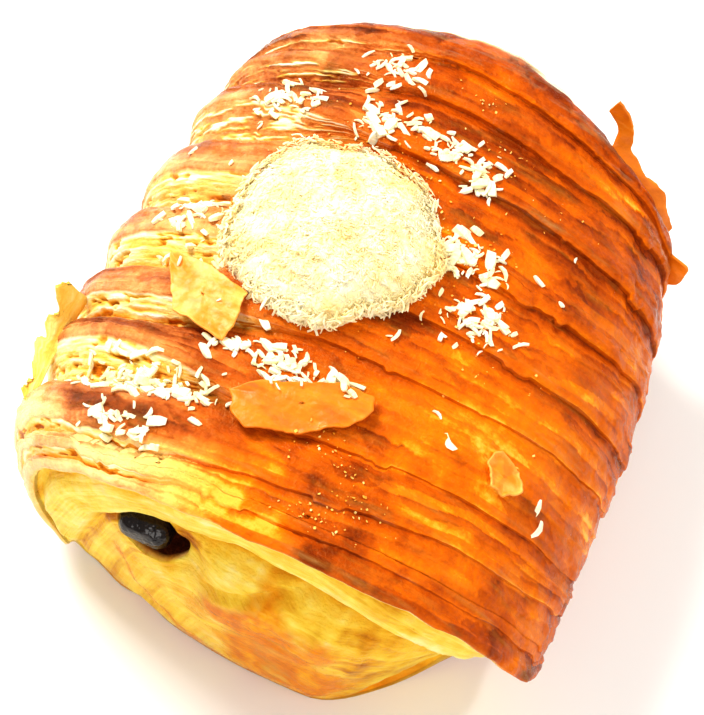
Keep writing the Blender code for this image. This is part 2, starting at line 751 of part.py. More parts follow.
def build():
    """Make the pastry, the stick and the mound."""
    for obj in list(bpy.data.objects):
        bpy.data.objects.remove(obj, do_unlink=True)
    rng = np.random.default_rng(CRUST_SEED)
    parts = bpy.data.collections.new("danish_pastry")
    cutters = bpy.data.collections.new("cutters")
    pieces = bpy.data.collections.new("pieces")
    for collection in (parts, cutters, pieces):
        bpy.context.scene.collection.children.link(collection)

    baked = principled("baked_dough", (0.62, 0.27, 0.06), 0.42)
    chocolate = principled("dark_chocolate", (0.03, 0.015, 0.01), 0.35)
    coconut = principled("grated_coconut", (0.95, 0.9, 0.76), 0.8)

    # Roll with its strips, flakes and shreds
    verts, faces = mesh_from_rings(roll_rings(), True)
    pastry = add_object("pastry", verts, faces, parts, baked)
    tree = surface_tree(verts, faces)
    add_flake("square_flake", SQUARE_FLAKE, pieces)
    add_flake("long_flake", LONG_FLAKE, pieces)
    add_flake("torn_flake", TORN_FLAKE, pieces)
    add_sheet("corner_fin", FIN_FOOT, FIN_EDGE, pieces)
    add_sheet("side_barb", BARB_FOOT, BARB_EDGE, pieces)
    add_sheet("side_frill", FRILL_FOOT, FRILL_EDGE, pieces)
    for i, matrix in enumerate(crust_shreds(tree, rng)):
        add_shred("shred_%03d" % i, matrix, pieces)
    fuse(pastry, pieces, "EXACT")
    keep_body(pastry)

    # Chocolate stick through the roll
    middle = (STICK_X * MM, 0.5 * (STICK_NEAR + STICK_FAR) * MM, STICK_Z * MM)
    bpy.ops.mesh.primitive_cube_add(size=1.0, location=middle)
    stick = bpy.context.object
    stick.name = "chocolate_stick"
    stick.scale = (STICK_WIDTH * MM, (STICK_FAR - STICK_NEAR) * MM, STICK_HEIGHT * MM)
    bpy.ops.object.transform_apply(location=False, rotation=False, scale=True)
    edge = stick.modifiers.new("rounded_edges", "BEVEL")
    edge.width = STICK_EDGE * MM
    edge.segments = 4
    stick.data.materials.append(chocolate)
    for collection in list(stick.users_collection):
        collection.objects.unlink(stick)
    parts.objects.link(stick)

    # Coconut mound, its underside cut to the strips below it
    rng = np.random.default_rng(MOUND_SEED)
    verts, faces = mound_core(rng)
    mound = add_object("coconut_mound", verts, faces, parts, coconut)
    grown_verts, grown_faces = mesh_from_rings(roll_rings(MOUND_GAP), True)
    grown = add_object("crust_clearance", grown_verts, grown_faces, cutters)
    grown.hide_render = True
    grown.display_type = "WIRE"
    cut = mound.modifiers.new("seat", "BOOLEAN")
    cut.operation = "DIFFERENCE"
    cut.object = grown
    cut.solver = "EXACT"
    apply_modifier(mound, cut.name)
    keep_body(mound)
    clear_tree = surface_tree(grown_verts, grown_faces)
    for i, matrix in enumerate(mound_shreds(clear_tree, rng)):
        add_shred("shred_%03d" % i, matrix, pieces)
    fuse(mound, pieces, "EXACT")
    keep_body(mound)

    bpy.data.collections.remove(pieces)
    bpy.data.objects.remove(grown, do_unlink=True)
    bpy.data.collections.remove(cutters)
    stand_on_middle(parts)


build()
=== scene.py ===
import json
import math

import bmesh
import bpy
import numpy as np
from mathutils import Matrix, Vector
from mathutils.bvhtree import BVHTree

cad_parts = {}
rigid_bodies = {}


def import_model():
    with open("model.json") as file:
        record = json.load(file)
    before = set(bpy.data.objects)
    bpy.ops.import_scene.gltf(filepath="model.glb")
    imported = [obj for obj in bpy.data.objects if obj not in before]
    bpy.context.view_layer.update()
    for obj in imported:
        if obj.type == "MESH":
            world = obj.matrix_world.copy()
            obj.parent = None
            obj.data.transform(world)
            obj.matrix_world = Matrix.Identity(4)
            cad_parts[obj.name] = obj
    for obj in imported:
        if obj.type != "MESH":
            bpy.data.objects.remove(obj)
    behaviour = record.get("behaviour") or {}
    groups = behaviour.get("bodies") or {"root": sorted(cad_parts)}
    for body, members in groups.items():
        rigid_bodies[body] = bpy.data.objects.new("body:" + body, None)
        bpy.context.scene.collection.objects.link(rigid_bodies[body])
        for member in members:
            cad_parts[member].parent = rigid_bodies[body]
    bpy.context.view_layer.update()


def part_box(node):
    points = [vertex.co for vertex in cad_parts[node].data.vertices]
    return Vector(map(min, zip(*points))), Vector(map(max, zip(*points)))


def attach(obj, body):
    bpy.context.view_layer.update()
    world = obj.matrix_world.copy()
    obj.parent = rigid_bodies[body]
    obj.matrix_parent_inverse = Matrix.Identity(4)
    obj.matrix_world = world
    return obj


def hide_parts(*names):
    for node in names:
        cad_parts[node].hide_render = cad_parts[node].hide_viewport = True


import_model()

MM = 0.001

# How finely the roll is built: points in a slice, rings in each open face, and how far the hidden
# ends of a slice lie inside the roll
SLICE_POINTS = 96000
NEAR_RINGS = 110
FAR_RINGS = 60
INNER_DEPTH = 6.0

# Body of the roll, in millimetres
HALF_LENGTH = 50.0
HALF_WIDTH_LEFT = 43.8
HALF_WIDTH_RIGHT = 49.6
BARREL_LEFT = 2.9
BARREL_RIGHT = 1.5
NEAR_LEFT_TAPER = 8.5
FAR_LEFT_TAPER = 2.2
FAR_RIGHT_TAPER = 6.5
CROWN_HEIGHT = 50.0
WIDEST_AT = 0.44
UPPER_POWER = 2.35
LOWER_POWER = 2.2

# Near lip of each crust strip along Y, at five angles round the roll
LIP_ANGLES = (20.0, 62.0, 90.0, 122.0, 165.0)
LIPS = (
    (-41.5, -44.0, -46.5, -47.2, -45.0),
    (-33.0, -36.5, -41.0, -43.0, -41.5),
    (-26.0, -28.5, -31.0, -27.0, -26.0),
    (-11.0, -13.5, -14.5, -17.5, -16.5),
    (-1.5, -3.0, -3.0, -3.5, -4.0),
    (11.5, 9.5, 9.0, 11.0, 10.5),
    (24.0, 24.5, 26.0, 28.5, 28.0),
    (37.5, 36.5, 40.0, 40.0, 39.0),
    (42.0, 45.5, 49.6, 47.6, 44.2),
)
NEAR_RIM = (-46.0, -49.0, -50.5, -50.5, -47.5)
FAR_ANGLES = (20.0, 35.0, 50.0, 62.0, 75.0, 90.0, 122.0, 165.0)
FAR_RIM = (46.5, 46.5, 49.0, 52.8, 56.3, 58.0, 53.0, 47.5)
GROOVE_RIGHT = 0.6
GROOVE_LEFT = 3.3
STEP_RIGHT = 0.5
FLANK_SHARE_LEFT = 0.42
LIP_RISE = 0.55

# How far each groove and lip fades on the right, from the near end to the far end
CALM_RIGHT = (0.7, 0.7, 0.7, 0.55, 0.3, 0.1, 0.0, 0.0, 0.0)

# Open faces at the two ends: a rolled band over a seam, and a lobe under it
FACE_NEAR = -46.0
FACE_FAR = 49.0
FACE_BULGE = 7.8
BAND_BULGE = 3.4
FACE_RECESS_RIGHT = 14.0
SEAM_DEPTH = 2.0
SEAM_LINE = (
    (-29.0, 3.0),
    (-27.5, 12.0),
    (-23.8, 24.5),
    (-17.0, 30.8),
    (-9.0, 34.0),
    (0.0, 36.0),
    (10.0, 35.5),
    (19.0, 33.0),
    (28.0, 29.5),
    (35.0, 25.5),
)

# Near face only: a fold beside the stick, and a golden streak low on the left, as heights over X
FOLD_X = (-4.0, 2.0, 8.0, 16.0)
FOLD_Z = (25.0, 28.5, 31.5, 33.0)
STREAK_X = (-20.0, -16.7, -11.2, -7.9, -4.7)
STREAK_RIDGE_Z = (17.5, 12.3, 8.5, 6.5, 4.5)
STREAK_GOLD_Z = (16.4, 11.2, 7.5, 5.5, 3.5)

# Chocolate stick and its slot
STICK_X = -16.5
STICK_Z = 27.0
STICK_WIDTH = 9.4
STICK_HEIGHT = 6.0
STICK_NEAR = -50.0
STICK_FAR = 50.0
MOUTH_OFFSET = 0.5
MOUTH_WIDTH = 11.8
MOUTH_HEIGHT = 7.4
MOUTH_POWER = 2.8
MOUTH_POINT = 1.7
SLOT_DEPTH = 9.0

# Coconut
MOUND_X = -9.6
MOUND_Y = 3.8
MOUND_RADIUS = 17.6
MOUND_HEIGHT = 6.4
MOUND_SHREDS = 6400
SHRED_LENGTH = 3.0
THREAD_LENGTH = 2.2
SHRED_LIFT = 0.22
LOWEST_SHRED = 34.0
# Kinds of shred: bend, width, thickness, twist and slant of the ends
CHIP_KINDS = (
    (0.15, 0.30, 0.20, 0.5, 0.03),
    (0.6, 0.24, 0.17, 0.9, 0.02),
    (0.0, 0.42, 0.24, 0.3, 0.06),
    (0.3, 0.18, 0.14, -1.0, 0.03),
    (-0.4, 0.34, 0.20, 1.2, 0.05),
    (0.1, 0.55, 0.32, 0.4, 0.05),
)
THREAD_KINDS = (
    (0.2, 0.15, 0.09, 0.5, 0.05),
    (0.8, 0.13, 0.08, 0.9, 0.04),
    (-0.5, 0.17, 0.09, -0.9, 0.05),
    (0.1, 0.22, 0.10, 0.3, 0.08),
)
# Groups of shreds on the crust: middle in x and y, half width, half depth and number
SHRED_GROUPS = (
    (-13.6, 42.5, 5.5, 5.0, 40),
    (-28.6, 28.5, 6.0, 5.0, 44),
    (-11.0, 29.5, 6.5, 4.5, 48),
    (0.5, 29.5, 5.5, 4.5, 40),
    (8.5, 26.5, 4.5, 5.0, 42),
    (14.4, 11.3, 6.5, 4.5, 36),
    (18.2, 0.9, 7.0, 5.5, 54),
    (-31.5, 1.5, 5.5, 6.0, 40),
    (-27.0, -8.0, 6.0, 3.0, 20),
    (-7.0, -22.5, 10.5, 4.5, 84),
    (-24.8, -32.5, 12.5, 4.5, 140),
    (-26.5, -41.0, 6.5, 3.0, 36),
    (9.2, 11.0, 2.4, 3.0, 26),
    (0.0, 0.0, 42.0, 44.0, 44),
)

# Small crumbs of crust, pale gold so that they also stand as painted glints, in kinds and groups like those
# of the shreds
CRUMB_LENGTH = 0.5
CRUMB_KINDS = (
    (0.1, 0.7, 0.3, 0.4, 0.05),
    (0.2, 0.4, 0.3, 0.8, 0.1),
    (0.0, 0.9, 0.25, 0.2, 0.0),
)
CRUMB_GROUPS = (
    (-4.7, 21.5, 6.0, 4.0, 26),
    (3.4, 15.4, 5.0, 4.0, 18),
    (2.0, 43.0, 6.0, 3.0, 16),
    (10.0, 35.0, 8.0, 4.0, 12),
    (12.0, 14.0, 8.0, 5.0, 34),
    (17.0, 2.0, 8.0, 6.0, 34),
    (19.0, 28.0, 10.0, 5.0, 14),
    (6.0, -32.5, 6.0, 3.5, 34),
    (2.0, -8.0, 10.0, 6.0, 16),
    (-18.0, 27.0, 14.0, 9.0, 22),
    (28.0, -10.0, 12.0, 12.0, 14),
    (9.0, -43.5, 6.0, 2.5, 34),
    (14.0, -38.5, 6.0, 3.5, 36),
)

# Loose flakes: corners in x, y and height over the plain crust
SQUARE_FLAKE = (
    (-32.1, -10.0, 1.3),
    (-25.4, -10.9, 2.2),
    (-16.9, -13.5, 1.8),
    (-16.4, -17.8, 2.0),
    (-16.8, -22.6, 1.4),
    (-21.6, -22.3, 1.9),
    (-26.8, -20.3, 1.5),
    (-29.6, -15.4, 1.6),
)
LONG_FLAKE = (
    (-12.0, -30.4, 1.3),
    (-7.5, -27.2, 1.8),
    (-1.9, -25.0, 2.0),
    (4.2, -21.8, 2.2),
    (8.9, -21.5, 1.8),
    (9.4, -24.0, 2.3),
    (7.9, -27.6, 1.7),
    (1.3, -32.1, 1.6),
    (-7.2, -35.6, 1.4),
    (-10.3, -33.4, 1.5),
)
TORN_FLAKE = (
    (29.2, -21.5, 0.9),
    (30.7, -19.0, 1.6),
    (34.6, -19.5, 1.0),
    (35.6, -22.6, 1.7),
    (33.3, -25.2, 1.3),
    (31.3, -24.8, 1.5),
)

# Torn sheets, each with its foot in the crust and its free edge: an upright fin at the far right
# corner, a barb under it, and a pale frill on the left side
FIN_FOOT = (
    (23.1, 52.0, 49.9),
    (26.3, 51.5, 46.0),
    (26.4, 48.6, 42.0),
    (31.4, 46.6, 38.4),
    (37.2, 45.4, 34.4),
    (41.0, 45.2, 29.0),
)
FIN_EDGE = (
    (24.2, 52.0, 53.3),
    (27.7, 51.8, 49.4),
    (29.9, 51.2, 43.4),
    (33.3, 50.2, 40.4),
    (37.6, 49.4, 38.5),
    (42.2, 48.0, 31.0),
)
BARB_FOOT = ((42.6, 43.0, 31.5), (42.8, 41.0, 28.5), (43.0, 39.0, 25.5))
BARB_EDGE = ((44.2, 42.0, 32.2), (48.3, 41.0, 31.4), (47.4, 39.8, 28.0))
FRILL_FOOT = (
    (-43.0, -17.5, 33.0),
    (-43.3, -22.0, 32.0),
    (-43.4, -28.0, 31.0),
    (-43.0, -34.0, 30.5),
    (-42.7, -39.0, 30.0),
)
FRILL_EDGE = (
    (-46.0, -18.5, 37.8),
    (-46.9, -21.5, 36.0),
    (-46.9, -26.0, 32.5),
    (-46.2, -31.0, 30.5),
    (-44.9, -37.0, 30.0),
)

# Browned and pale patches of the crust: x, y, half width, half depth, amount
BAKE_PATCHES = (
    (12.0, 38.0, 30.0, 10.0, 0.30),
    (24.0, 24.0, 20.0, 8.0, 0.22),
    (20.0, -48.5, 11.0, 3.0, 0.45),
    (36.0, -45.5, 6.0, 3.5, 0.30),
    (21.0, -20.0, 12.0, 5.5, -0.20),
    (30.0, -24.0, 7.0, 4.5, -0.16),
    (36.0, -36.0, 6.0, 6.0, -0.10),
    (-6.0, 44.0, 16.0, 5.0, 0.08),
    (-25.0, 48.0, 10.0, 5.0, -0.18),
    (-30.0, -22.5, 16.0, 3.5, 0.20),
    (-25.0, -40.0, 15.0, 3.8, 0.30),
    (-39.5, -43.5, 4.0, 3.0, -0.55),
    (33.0, 40.0, 8.0, 8.0, -0.14),
    (-30.0, -47.5, 12.0, 2.6, -0.40),
    (-10.0, -49.0, 14.0, 2.6, -0.34),
    (-7.0, -45.8, 13.0, 3.0, -0.45),
    (-12.0, -44.0, 12.0, 3.0, -0.30),
    (-42.5, -39.0, 4.0, 4.5, -0.50),
    (9.0, -47.5, 5.0, 2.5, 0.28),
    (17.0, -40.0, 9.0, 5.0, 0.10),
    (29.0, -44.0, 8.0, 4.0, 0.10),
)

# Camera: turn round the part, height over the floor and roll, in degrees
CAMERA_ANGLES = (10.0, 60.0, 16.0)
CAMERA_TARGET = (0.0, 0.0, 22.0)
CAMERA_DISTANCE = 300.0
CAMERA_LENS = 85.1

# Studio lights: name, place, size, power and colour, with metres and watts
LIGHTS = (
    ("key", (-0.42, 0.16, 0.50), 0.22, 5.2, (1.0, 0.97, 0.91)),
    ("fill", (0.15, -0.60, 0.40), 0.40, 1.8, (1.0, 0.97, 0.92)),
    ("side_fill", (0.55, 0.05, 0.38), 0.45, 1.0, (1.0, 0.93, 0.80)),
    ("glint", (0.22, 0.19, 0.52), 0.06, 0.7, (1.0, 0.96, 0.88)),
)
SURROUND_LIGHT = 0.36


def smooth(a, b, x):
    """Soft step from 0 at a to 1 at b."""
    f = np.clip((np.asarray(x, dtype=float) - a) / (b - a), 0.0, 1.0)
    return f * f * (3.0 - 2.0 * f)


def waves(x, y, period, phase):
    """Slow uneven wave along x, from -1 to 1."""
    a = np.sin(2.0 * math.pi * x / period + phase)
    b = np.sin(2.0 * math.pi * x / (period * 0.43) + 1.7 * phase + 0.9 * y)
    c = np.sin(2.0 * math.pi * x / (period * 0.23) + 2.9 * phase + 2.3 * y)
    return 0.5 * a + 0.32 * b + 0.18 * c


def spot(x, y, middle_x, middle_y, wide_x, wide_y):
    """Soft round spot, 1 in its middle and falling off all round."""
    return np.exp(-((x - middle_x) / wide_x) ** 2 - ((y - middle_y) / wide_y) ** 2)


def grain(ix, iy, iz, seed):
    """Random value from 0 to 1 at each whole-number point."""
    h = (ix.astype(np.int64) * 374761393 + iy.astype(np.int64) * 668265263
         + iz.astype(np.int64) * 2147483647 + seed * 1274126177) & 0xFFFFFFFF
    h = ((h ^ (h >> 13)) * 1274126177) & 0xFFFFFFFF
    h = (h ^ (h >> 16)) & 0xFFFFFF
    return h / float(0xFFFFFF)


def soft_noise(x, y, z, seed):
    """Smooth noise from -1 to 1."""
    x, y, z = np.broadcast_arrays(x, y, z)
    ix, iy, iz = np.floor(x), np.floor(y), np.floor(z)
    fx, fy, fz = x - ix, y - iy, z - iz
    fx, fy, fz = (f * f * (3.0 - 2.0 * f) for f in (fx, fy, fz))
    total = 0.0
    for dx in (0, 1):
        for dy in (0, 1):
            for dz in (0, 1):
                weight = (fx if dx else 1.0 - fx) * (fy if dy else 1.0 - fy) * (fz if dz else 1.0 - fz)
                total = total + weight * grain(ix + dx, iy + dy, iz + dz, seed)
    return 2.0 * total - 1.0


def rough(x, y, z, size, seed, octaves=3):
    """Layered noise whose largest features have the given size."""
    total = 0.0
    share = 1.0
    for i in range(octaves):
        total = total + share * soft_noise(x / size, y / size, z / size, seed + i)
        size *= 0.5
        share *= 0.5
    return total


def by_angle(values, deg):
    """Values given at the lip angles, read at any angle."""
    return np.interp(deg, LIP_ANGLES, values)


def half_width(t, left):
    """Half width of the roll at place t, from -1 at the near end to 1 at the far end."""
    t = np.clip(t, -1.1, 1.1)
    corner = np.clip((-t - 0.76) / 0.24, 0.0, 1.0) ** 1.6
    wide_left = HALF_WIDTH_LEFT + BARREL_LEFT * (1.0 - t * t) - NEAR_LEFT_TAPER * corner
    wide_left = wide_left - FAR_LEFT_TAPER * np.clip((t - 0.6) / 0.4, 0.0, 1.0) ** 2
    taper = np.clip((t + 0.1) / 1.1, 0.0, 1.0) ** 2
    wide_right = HALF_WIDTH_RIGHT + BARREL_RIGHT * (1.0 - t * t) - FAR_RIGHT_TAPER * taper
    return np.where(left, wide_left, wide_right)


def crown(t):
    """Height of the plain roll at place t along it."""
    return CROWN_HEIGHT - 1.7 * t * t


def section(deg, y):
    """Point x, z on the plain roll at an angle and a place along Y."""
    t = y / HALF_LENGTH
    rad = np.radians(deg)
    c = np.cos(rad)
    s = np.sin(rad)
    top = crown(t)
    mid = WIDEST_AT * top
    wide = half_width(t, c < 0.0)
    power = np.where(s >= 0.0, UPPER_POWER, LOWER_POWER)
    x = np.sign(c) * np.abs(c) ** (2.0 / power) * wide
    lift = np.abs(s) ** (2.0 / power)
    z = np.where(s >= 0.0, mid + (top - mid) * lift, mid - 1.22 * mid * lift)
    return x, z


def outward(deg, y):
    """Direction out of the plain roll, in its section."""
    x0, z0 = section(deg - 1.5, y)
    x1, z1 = section(deg + 1.5, y)
    dx = x1 - x0
    dz = z1 - z0
    size = np.maximum(np.hypot(dx, dz), 1e-6)
    return dz / size, -dx / size


def plain_height(x, y):
    """Height of the plain roll over a point of the plan."""
    t = y / HALF_LENGTH
    top = crown(t)
    mid = WIDEST_AT * top
    wide = half_width(t, x < 0.0)
    inside = np.maximum(0.0, 1.0 - np.minimum(np.abs(x) / wide, 1.0) ** UPPER_POWER)
    return mid + (top - mid) * inside ** (1.0 / UPPER_POWER)


def relief_share(deg):
    """1 where the strips have their full relief, 0 under the roll."""
    return smooth(-52.0, -18.0, deg) * (1.0 - smooth(198.0, 232.0, deg))


def leftness(deg):
    """0 on the right and the crown, 1 on the left side, where the cuts gape."""
    return smooth(92.0, 132.0, deg)


def blister(deg, y):
    """Height of the three broad blisters of the crust."""
    x, z = section(deg, y)
    main = 1.3 * spot(x, y, 21.0, -20.0, 11.0, 5.5)
    small = 0.8 * spot(x, y, 5.0, -36.0, 8.0, 3.5)
    back = 0.9 * spot(x, y, 16.0, 44.0, 9.0, 4.5)
    return main + small + back


def sub_layers(s, count, arc, k):
    """Thin layers across one strip: height and browning at share s of its width."""
    place = s * count + 0.42 * rough(arc, 31.0 * k, 0.0, 13.0, 50 + k, 3)
    layer = np.floor(place)
    part = place - layer
    along = smooth(-0.30, 0.30, rough(arc, 17.3 * layer, 5.1 * k, 15.0, 80, 2))
    height = along * smooth(0.0, 0.10, part) * (1.0 - part) ** 1.2
    brown = along * (0.16 * smooth(0.45, 1.0, part) - 0.10 * np.exp(-((part - 0.1) / 0.12) ** 2))
    for size, slant, amount, seed in ((15.0, 0.35, 0.34, 301), (6.5, -0.5, 0.24, 302)):
        jog = 0.18 * rough(arc, 3.0 * place, 7.0 * k, 2.5, seed + 10, 3)
        cell = np.floor(arc / size + slant * part + 3.7 * grain(layer, 0 * layer, 0 * layer + k, seed) + jog)
        brown = brown + amount * (grain(cell, layer, 0 * layer + k, seed + 1) - 0.5)
    return height, brown


def crust_rows(deg, arc):
    """Rows from the near rim to the far rim: y, rise, pale, lip, browning with painted shade in the grooves,
    layer tone with painted shade at the valleys.
    """
    share = relief_share(deg)
    left = leftness(deg)
    groove = (GROOVE_RIGHT + (GROOVE_LEFT - GROOVE_RIGHT) * left) * share
    rim = by_angle(NEAR_RIM, deg)
    none = 0.0 * deg
    rows = []

    def add(y, rise, pale=0.0, lip=0.0, brown=0.0, tone=0.5):
        rows.append(tuple(none + v for v in (y, rise, pale, lip, brown, tone)))

    ragged = 0.35 * share * rough(arc, 0.0, 3.0, 5.0, 71)
    for s in np.linspace(0.0, 1.0, 7):
        add(rim + ragged - 0.35 * share * s, (-1.1 + 1.2 * s) * share, 1.0 - s, s)
    lip = rim + ragged
    top = LIP_RISE * share
    nose_rise = 0.1 * share
    nose = rim + ragged - 0.35 * share
    for k, values in enumerate(LIPS):
        after = by_angle(values, deg) + 0.5 * share * waves(deg, k, 74.0, 1.3 * k)
        torn = rough(arc, 17.0 * k, 0.0, 6.0, 40 + k)
        fine = rough(arc, 5.0 * k, 0.0, 1.6, 60 + k, 2)
        after = after + share * (0.3 + 0.7 * left) * (0.40 * torn + 0.16 * fine)
        after = after - 0.9 * share * smooth(0.55, 0.95, torn)
        pitch = after - lip
        flank = FLANK_SHARE_LEFT * pitch * left + STEP_RIGHT * share * (1.0 - left)
        calm = 1.0 - CALM_RIGHT[k] * smooth(105.0, 60.0, deg)
        depth = groove * calm * np.clip(pitch / 7.0, 0.35, 1.15)
        valley = after - flank
        width = valley - lip
        far_brown = float(smooth(4.0, 6.5, k))
        uneven = smooth(-0.7, 0.9, rough(arc, 23.0 * k, 0.0, 16.0, 150, 3))
        half = lip + 0.55 * width
        height = 0.35 * share * waves(deg, 2 * k, 61.0, 0.7 * k)
        crest = 0.25 * share * LIP_RISE + blister(deg, half) + height
        lip_top = lip + np.minimum(1.1, 0.25 * width)
        for s in np.linspace(0.0, 1.0, 6)[1:]:
            turn = math.sin(0.5 * math.pi * s)
            add(nose + (lip_top - nose) * (1.0 - math.cos(0.5 * math.pi * s)),
                nose_rise + (top - nose_rise) * turn, 0.0, 1.0 - s, 0.0)
        middle = float(np.median(width[share > 0.9]))
        count = int(np.clip(middle / 0.25, 8, 64))
        layers = max(1, int(round(middle / 2.3)))
        for s in np.linspace(0.0, 1.0, count)[1:]:
            blend = smooth(0.0, 0.5, s)
            dome = max(0.0, (s - 0.42) / 0.58) ** 2.0
            late = max(0.0, (s - 0.45) / 0.55) ** 1.5
            fall = left * dome + (1.0 - left) * late
            rise = (top * (1.0 - blend) + crest * blend) * (1.0 - fall) - depth * fall
            step, brown = sub_layers(s, layers, arc, k)
            step = step * float(smooth(0.0, 0.15, s)) * (1.0 - left * float(smooth(0.6, 0.8, s)))
            rise = rise + 0.32 * share * step
            # Painted shade: darker over the far part of each strip, and darkest in the groove under the next
            # lip.
            shade = 0.24 * float(smooth(0.2, 0.95, s)) + 0.46 * np.exp(-(((1.0 - s) * width / 1.6) ** 2))
            shade = calm * (0.35 + 0.65 * uneven) * shade - 0.06
            brown = (1.0 - 0.6 * left) * brown + (1.0 - left) * shade
            brown = brown + left * (0.30 * math.sin(math.pi * min(1.0, 1.25 * s)) - 0.1)
            pale = float(smooth(0.78, 0.98, s)) * left * (1.0 - 0.6 * far_brown)
            add(lip_top + (valley - lip_top) * s, rise, pale, 0.0, brown, 0.25)
        next_nose = after - 0.3 * share
        next_rise = 0.15 * share + 0.5 * height
        plies = max(2.0, float(np.median(flank[left > 0.9])) / 0.85)
        for s in np.linspace(0.0, 1.0, 22)[1:]:
            climb = s ** 0.85
            phase = s * plies + 0.45 * rough(arc, 9.0 * k, 0.0, 11.0, 100 + k, 3)
            wave = 0.30 * np.sin(2.0 * math.pi * phase)
            wave = wave + 1.0 * rough(arc / 3.5, 2.3 * s * plies, 5.0 * k, 1.5, 140, 3)
            tear = smooth(0.35, 0.75, rough(arc, 4.0 * s * plies, 3.0 * k, 3.2, 120, 3))
            mask = left * share * math.sin(math.pi * s) ** 0.6 * np.clip(pitch / 8.0, 0.25, 1.0)
            ridge = mask * (0.24 * wave - 0.7 * tear)
            # Lower tone and more browning towards the valley at the foot of each flank: painted shade in the
            # groove.
            tone = 0.50 + 0.28 * s + 0.34 * wave - 0.62 * tear
            tone = tone - far_brown * (0.25 - 1.0 * np.clip(wave - 0.30, 0.0, 0.5))
            y = valley + (next_nose - valley) * s - 0.5 * ridge
            rise = -depth + (next_rise + depth) * climb + ridge
            pale = left * (1.0 - float(smooth(0.88, 1.0, s))) * (1.0 - far_brown * smooth(0.5, 0.1, wave))
            add(y, rise, pale, float(smooth(0.75, 1.0, s)), 0.30 * uneven * calm * (1.0 - s), tone)
        lip = after
        top = LIP_RISE * share * calm + height
        nose = next_nose
        nose_rise = next_rise
    far = np.interp(deg, FAR_ANGLES, FAR_RIM) + 0.5 * share * rough(arc, 0.0, 9.0, 6.0, 72)
    for s in np.linspace(0.0, 1.0, 26)[1:]:
        rise = top * (1.0 - s) - 1.2 * share * s ** 5 + 0.3 * share * math.sin(math.pi * s)
        step, brown = sub_layers(s, 2, arc, 9)
        under = float(smooth(0.72, 0.80, s)) * smooth(48.0, 56.0, deg) * smooth(84.0, 78.0, deg)
        rise = rise - 0.7 * share * under
        add(nose + (far - nose) * s, rise + 0.3 * share * step * s * (1.0 - s) * 4.0,
            np.maximum(float(smooth(0.8, 1.0, s)), under), 0.0, brown + 0.15, 0.75 + 0.2 * under)
    return rows


def seam_distance(x, z):
    """Distance from the seam line in the plane of a face, above zero on the rolled band's side."""
    x = np.asarray(x, dtype=float)
    z = np.asarray(z, dtype=float)
    nearest = np.full(x.shape, 1e9)
    signed = np.zeros(x.shape)
    for (x0, z0), (x1, z1) in zip(SEAM_LINE[:-1], SEAM_LINE[1:]):
        dx, dz = x1 - x0, z1 - z0
        f = np.clip(((x - x0) * dx + (z - z0) * dz) / (dx * dx + dz * dz), 0.0, 1.0)
        rx, rz = x - x0 - f * dx, z - z0 - f * dz
        far = np.hypot(rx, rz)
        closer = far < nearest
        nearest = np.where(closer, far, nearest)
        signed = np.where(closer, np.where(dx * rz - dz * rx > 0.0, far, -far), signed)
    return signed


def lobe_share(x):
    """How far the lobe of an open face bulges across the roll, as a share of its most."""
    return np.where(x < 8.0, np.exp(-((x - 8.0) / 31.5) ** 2), np.exp(-((x - 8.0) / 26.0) ** 4))


def face_depth(x, z, near, fine=True):
    """Place along Y of an open face, with or without the fine relief of the dough."""
    plane = FACE_NEAR if near else FACE_FAR
    out = -1.0 if near else 1.0
    size = 1.0 if near else 0.6
    off = seam_distance(x, z)
    inside = np.maximum(-off, 0.0)
    lobe = FACE_BULGE * size * lobe_share(x) * (1.0 - np.exp(-(inside / 3.6) ** 1.3))
    lobe = lobe * (1.0 - 0.7 * spot(x, z, -9.5, 29.0, 5.0, 4.2))
    snug = 2.2 * size * np.exp(-(off / 3.0) ** 2) * smooth(-15.0, -21.0, x) * smooth(0.0, 6.0, z)
    band = BAND_BULGE * size * np.exp(-((np.maximum(off, 0.0) - 6.5) / 4.8) ** 4) * smooth(48.0, 38.0, x)
    cut = FACE_RECESS_RIGHT * size * smooth(18.0, 46.0, x) * smooth(44.0, 6.0, z)
    ends = smooth(40.0, 33.0, x) * smooth(0.0, 6.0, z) * (0.35 + 0.65 * smooth(-26.0, -18.0, x))
    seam = SEAM_DEPTH * np.exp(-(off / 1.9) ** 2) * ends
    depth = lobe + band - cut - seam + snug
    if not fine:
        ripple = np.sin(2.0 * math.pi * (z - 0.12 * x) / 4.6 + 0.6 * np.sin(x / 6.0))
        return plane + out * (depth + 0.35 * ripple)
    plies = 0.24 * rough(0.16 * x, off, 3.0, 1.7, 21, 3)
    strength = 0.25 + 0.75 * smooth(-0.4, 0.4, rough(x, z, 4.0, 12.0, 33))
    crumb = 0.36 * rough(x, z, 1.0, 8.0, 23) + 0.16 * rough(x, z, 2.0, 2.2, 25, 2)
    depth = depth + plies * strength + crumb
    if not near:
        return plane + out * (depth + 0.5 * rough(x, z, 7.0, 11.0, 37, 2))
    sharp = 1.3 * np.exp(-(off / 0.6) ** 2) * ends
    fold_line = z - np.interp(x, FOLD_X, FOLD_Z)
    edge = smooth(-6.0, -1.0, x) * smooth(24.0, 16.0, x)
    fold = (0.9 * smooth(1.0, -0.6, fold_line) * smooth(-14.0, -4.0, fold_line)
            - 0.8 * np.exp(-((fold_line - 1.0) / 0.7) ** 2)) * edge
    streak = z - np.interp(x, STREAK_X, STREAK_RIDGE_Z)
    ridge = smooth(-0.4, 0.5, streak) * smooth(6.0, 1.0, streak)
    fold = fold + 0.7 * ridge * smooth(-22.0, -18.0, x) * smooth(-3.0, -6.0, x)
    wrinkles = smooth(19.0, 23.0, x) * smooth(31.0, 26.0, x) * smooth(34.0, 28.0, z)
    fold = fold + 0.8 * wrinkles * rough(x, 0.35 * z, 11.0, 3.0, 36, 3)
    spread = smooth(22.0, 32.0, x) * 0.5 * np.sin(2.0 * math.pi * (off + 0.15 * x) / 2.6)
    return plane + out * (depth - sharp + fold + spread)


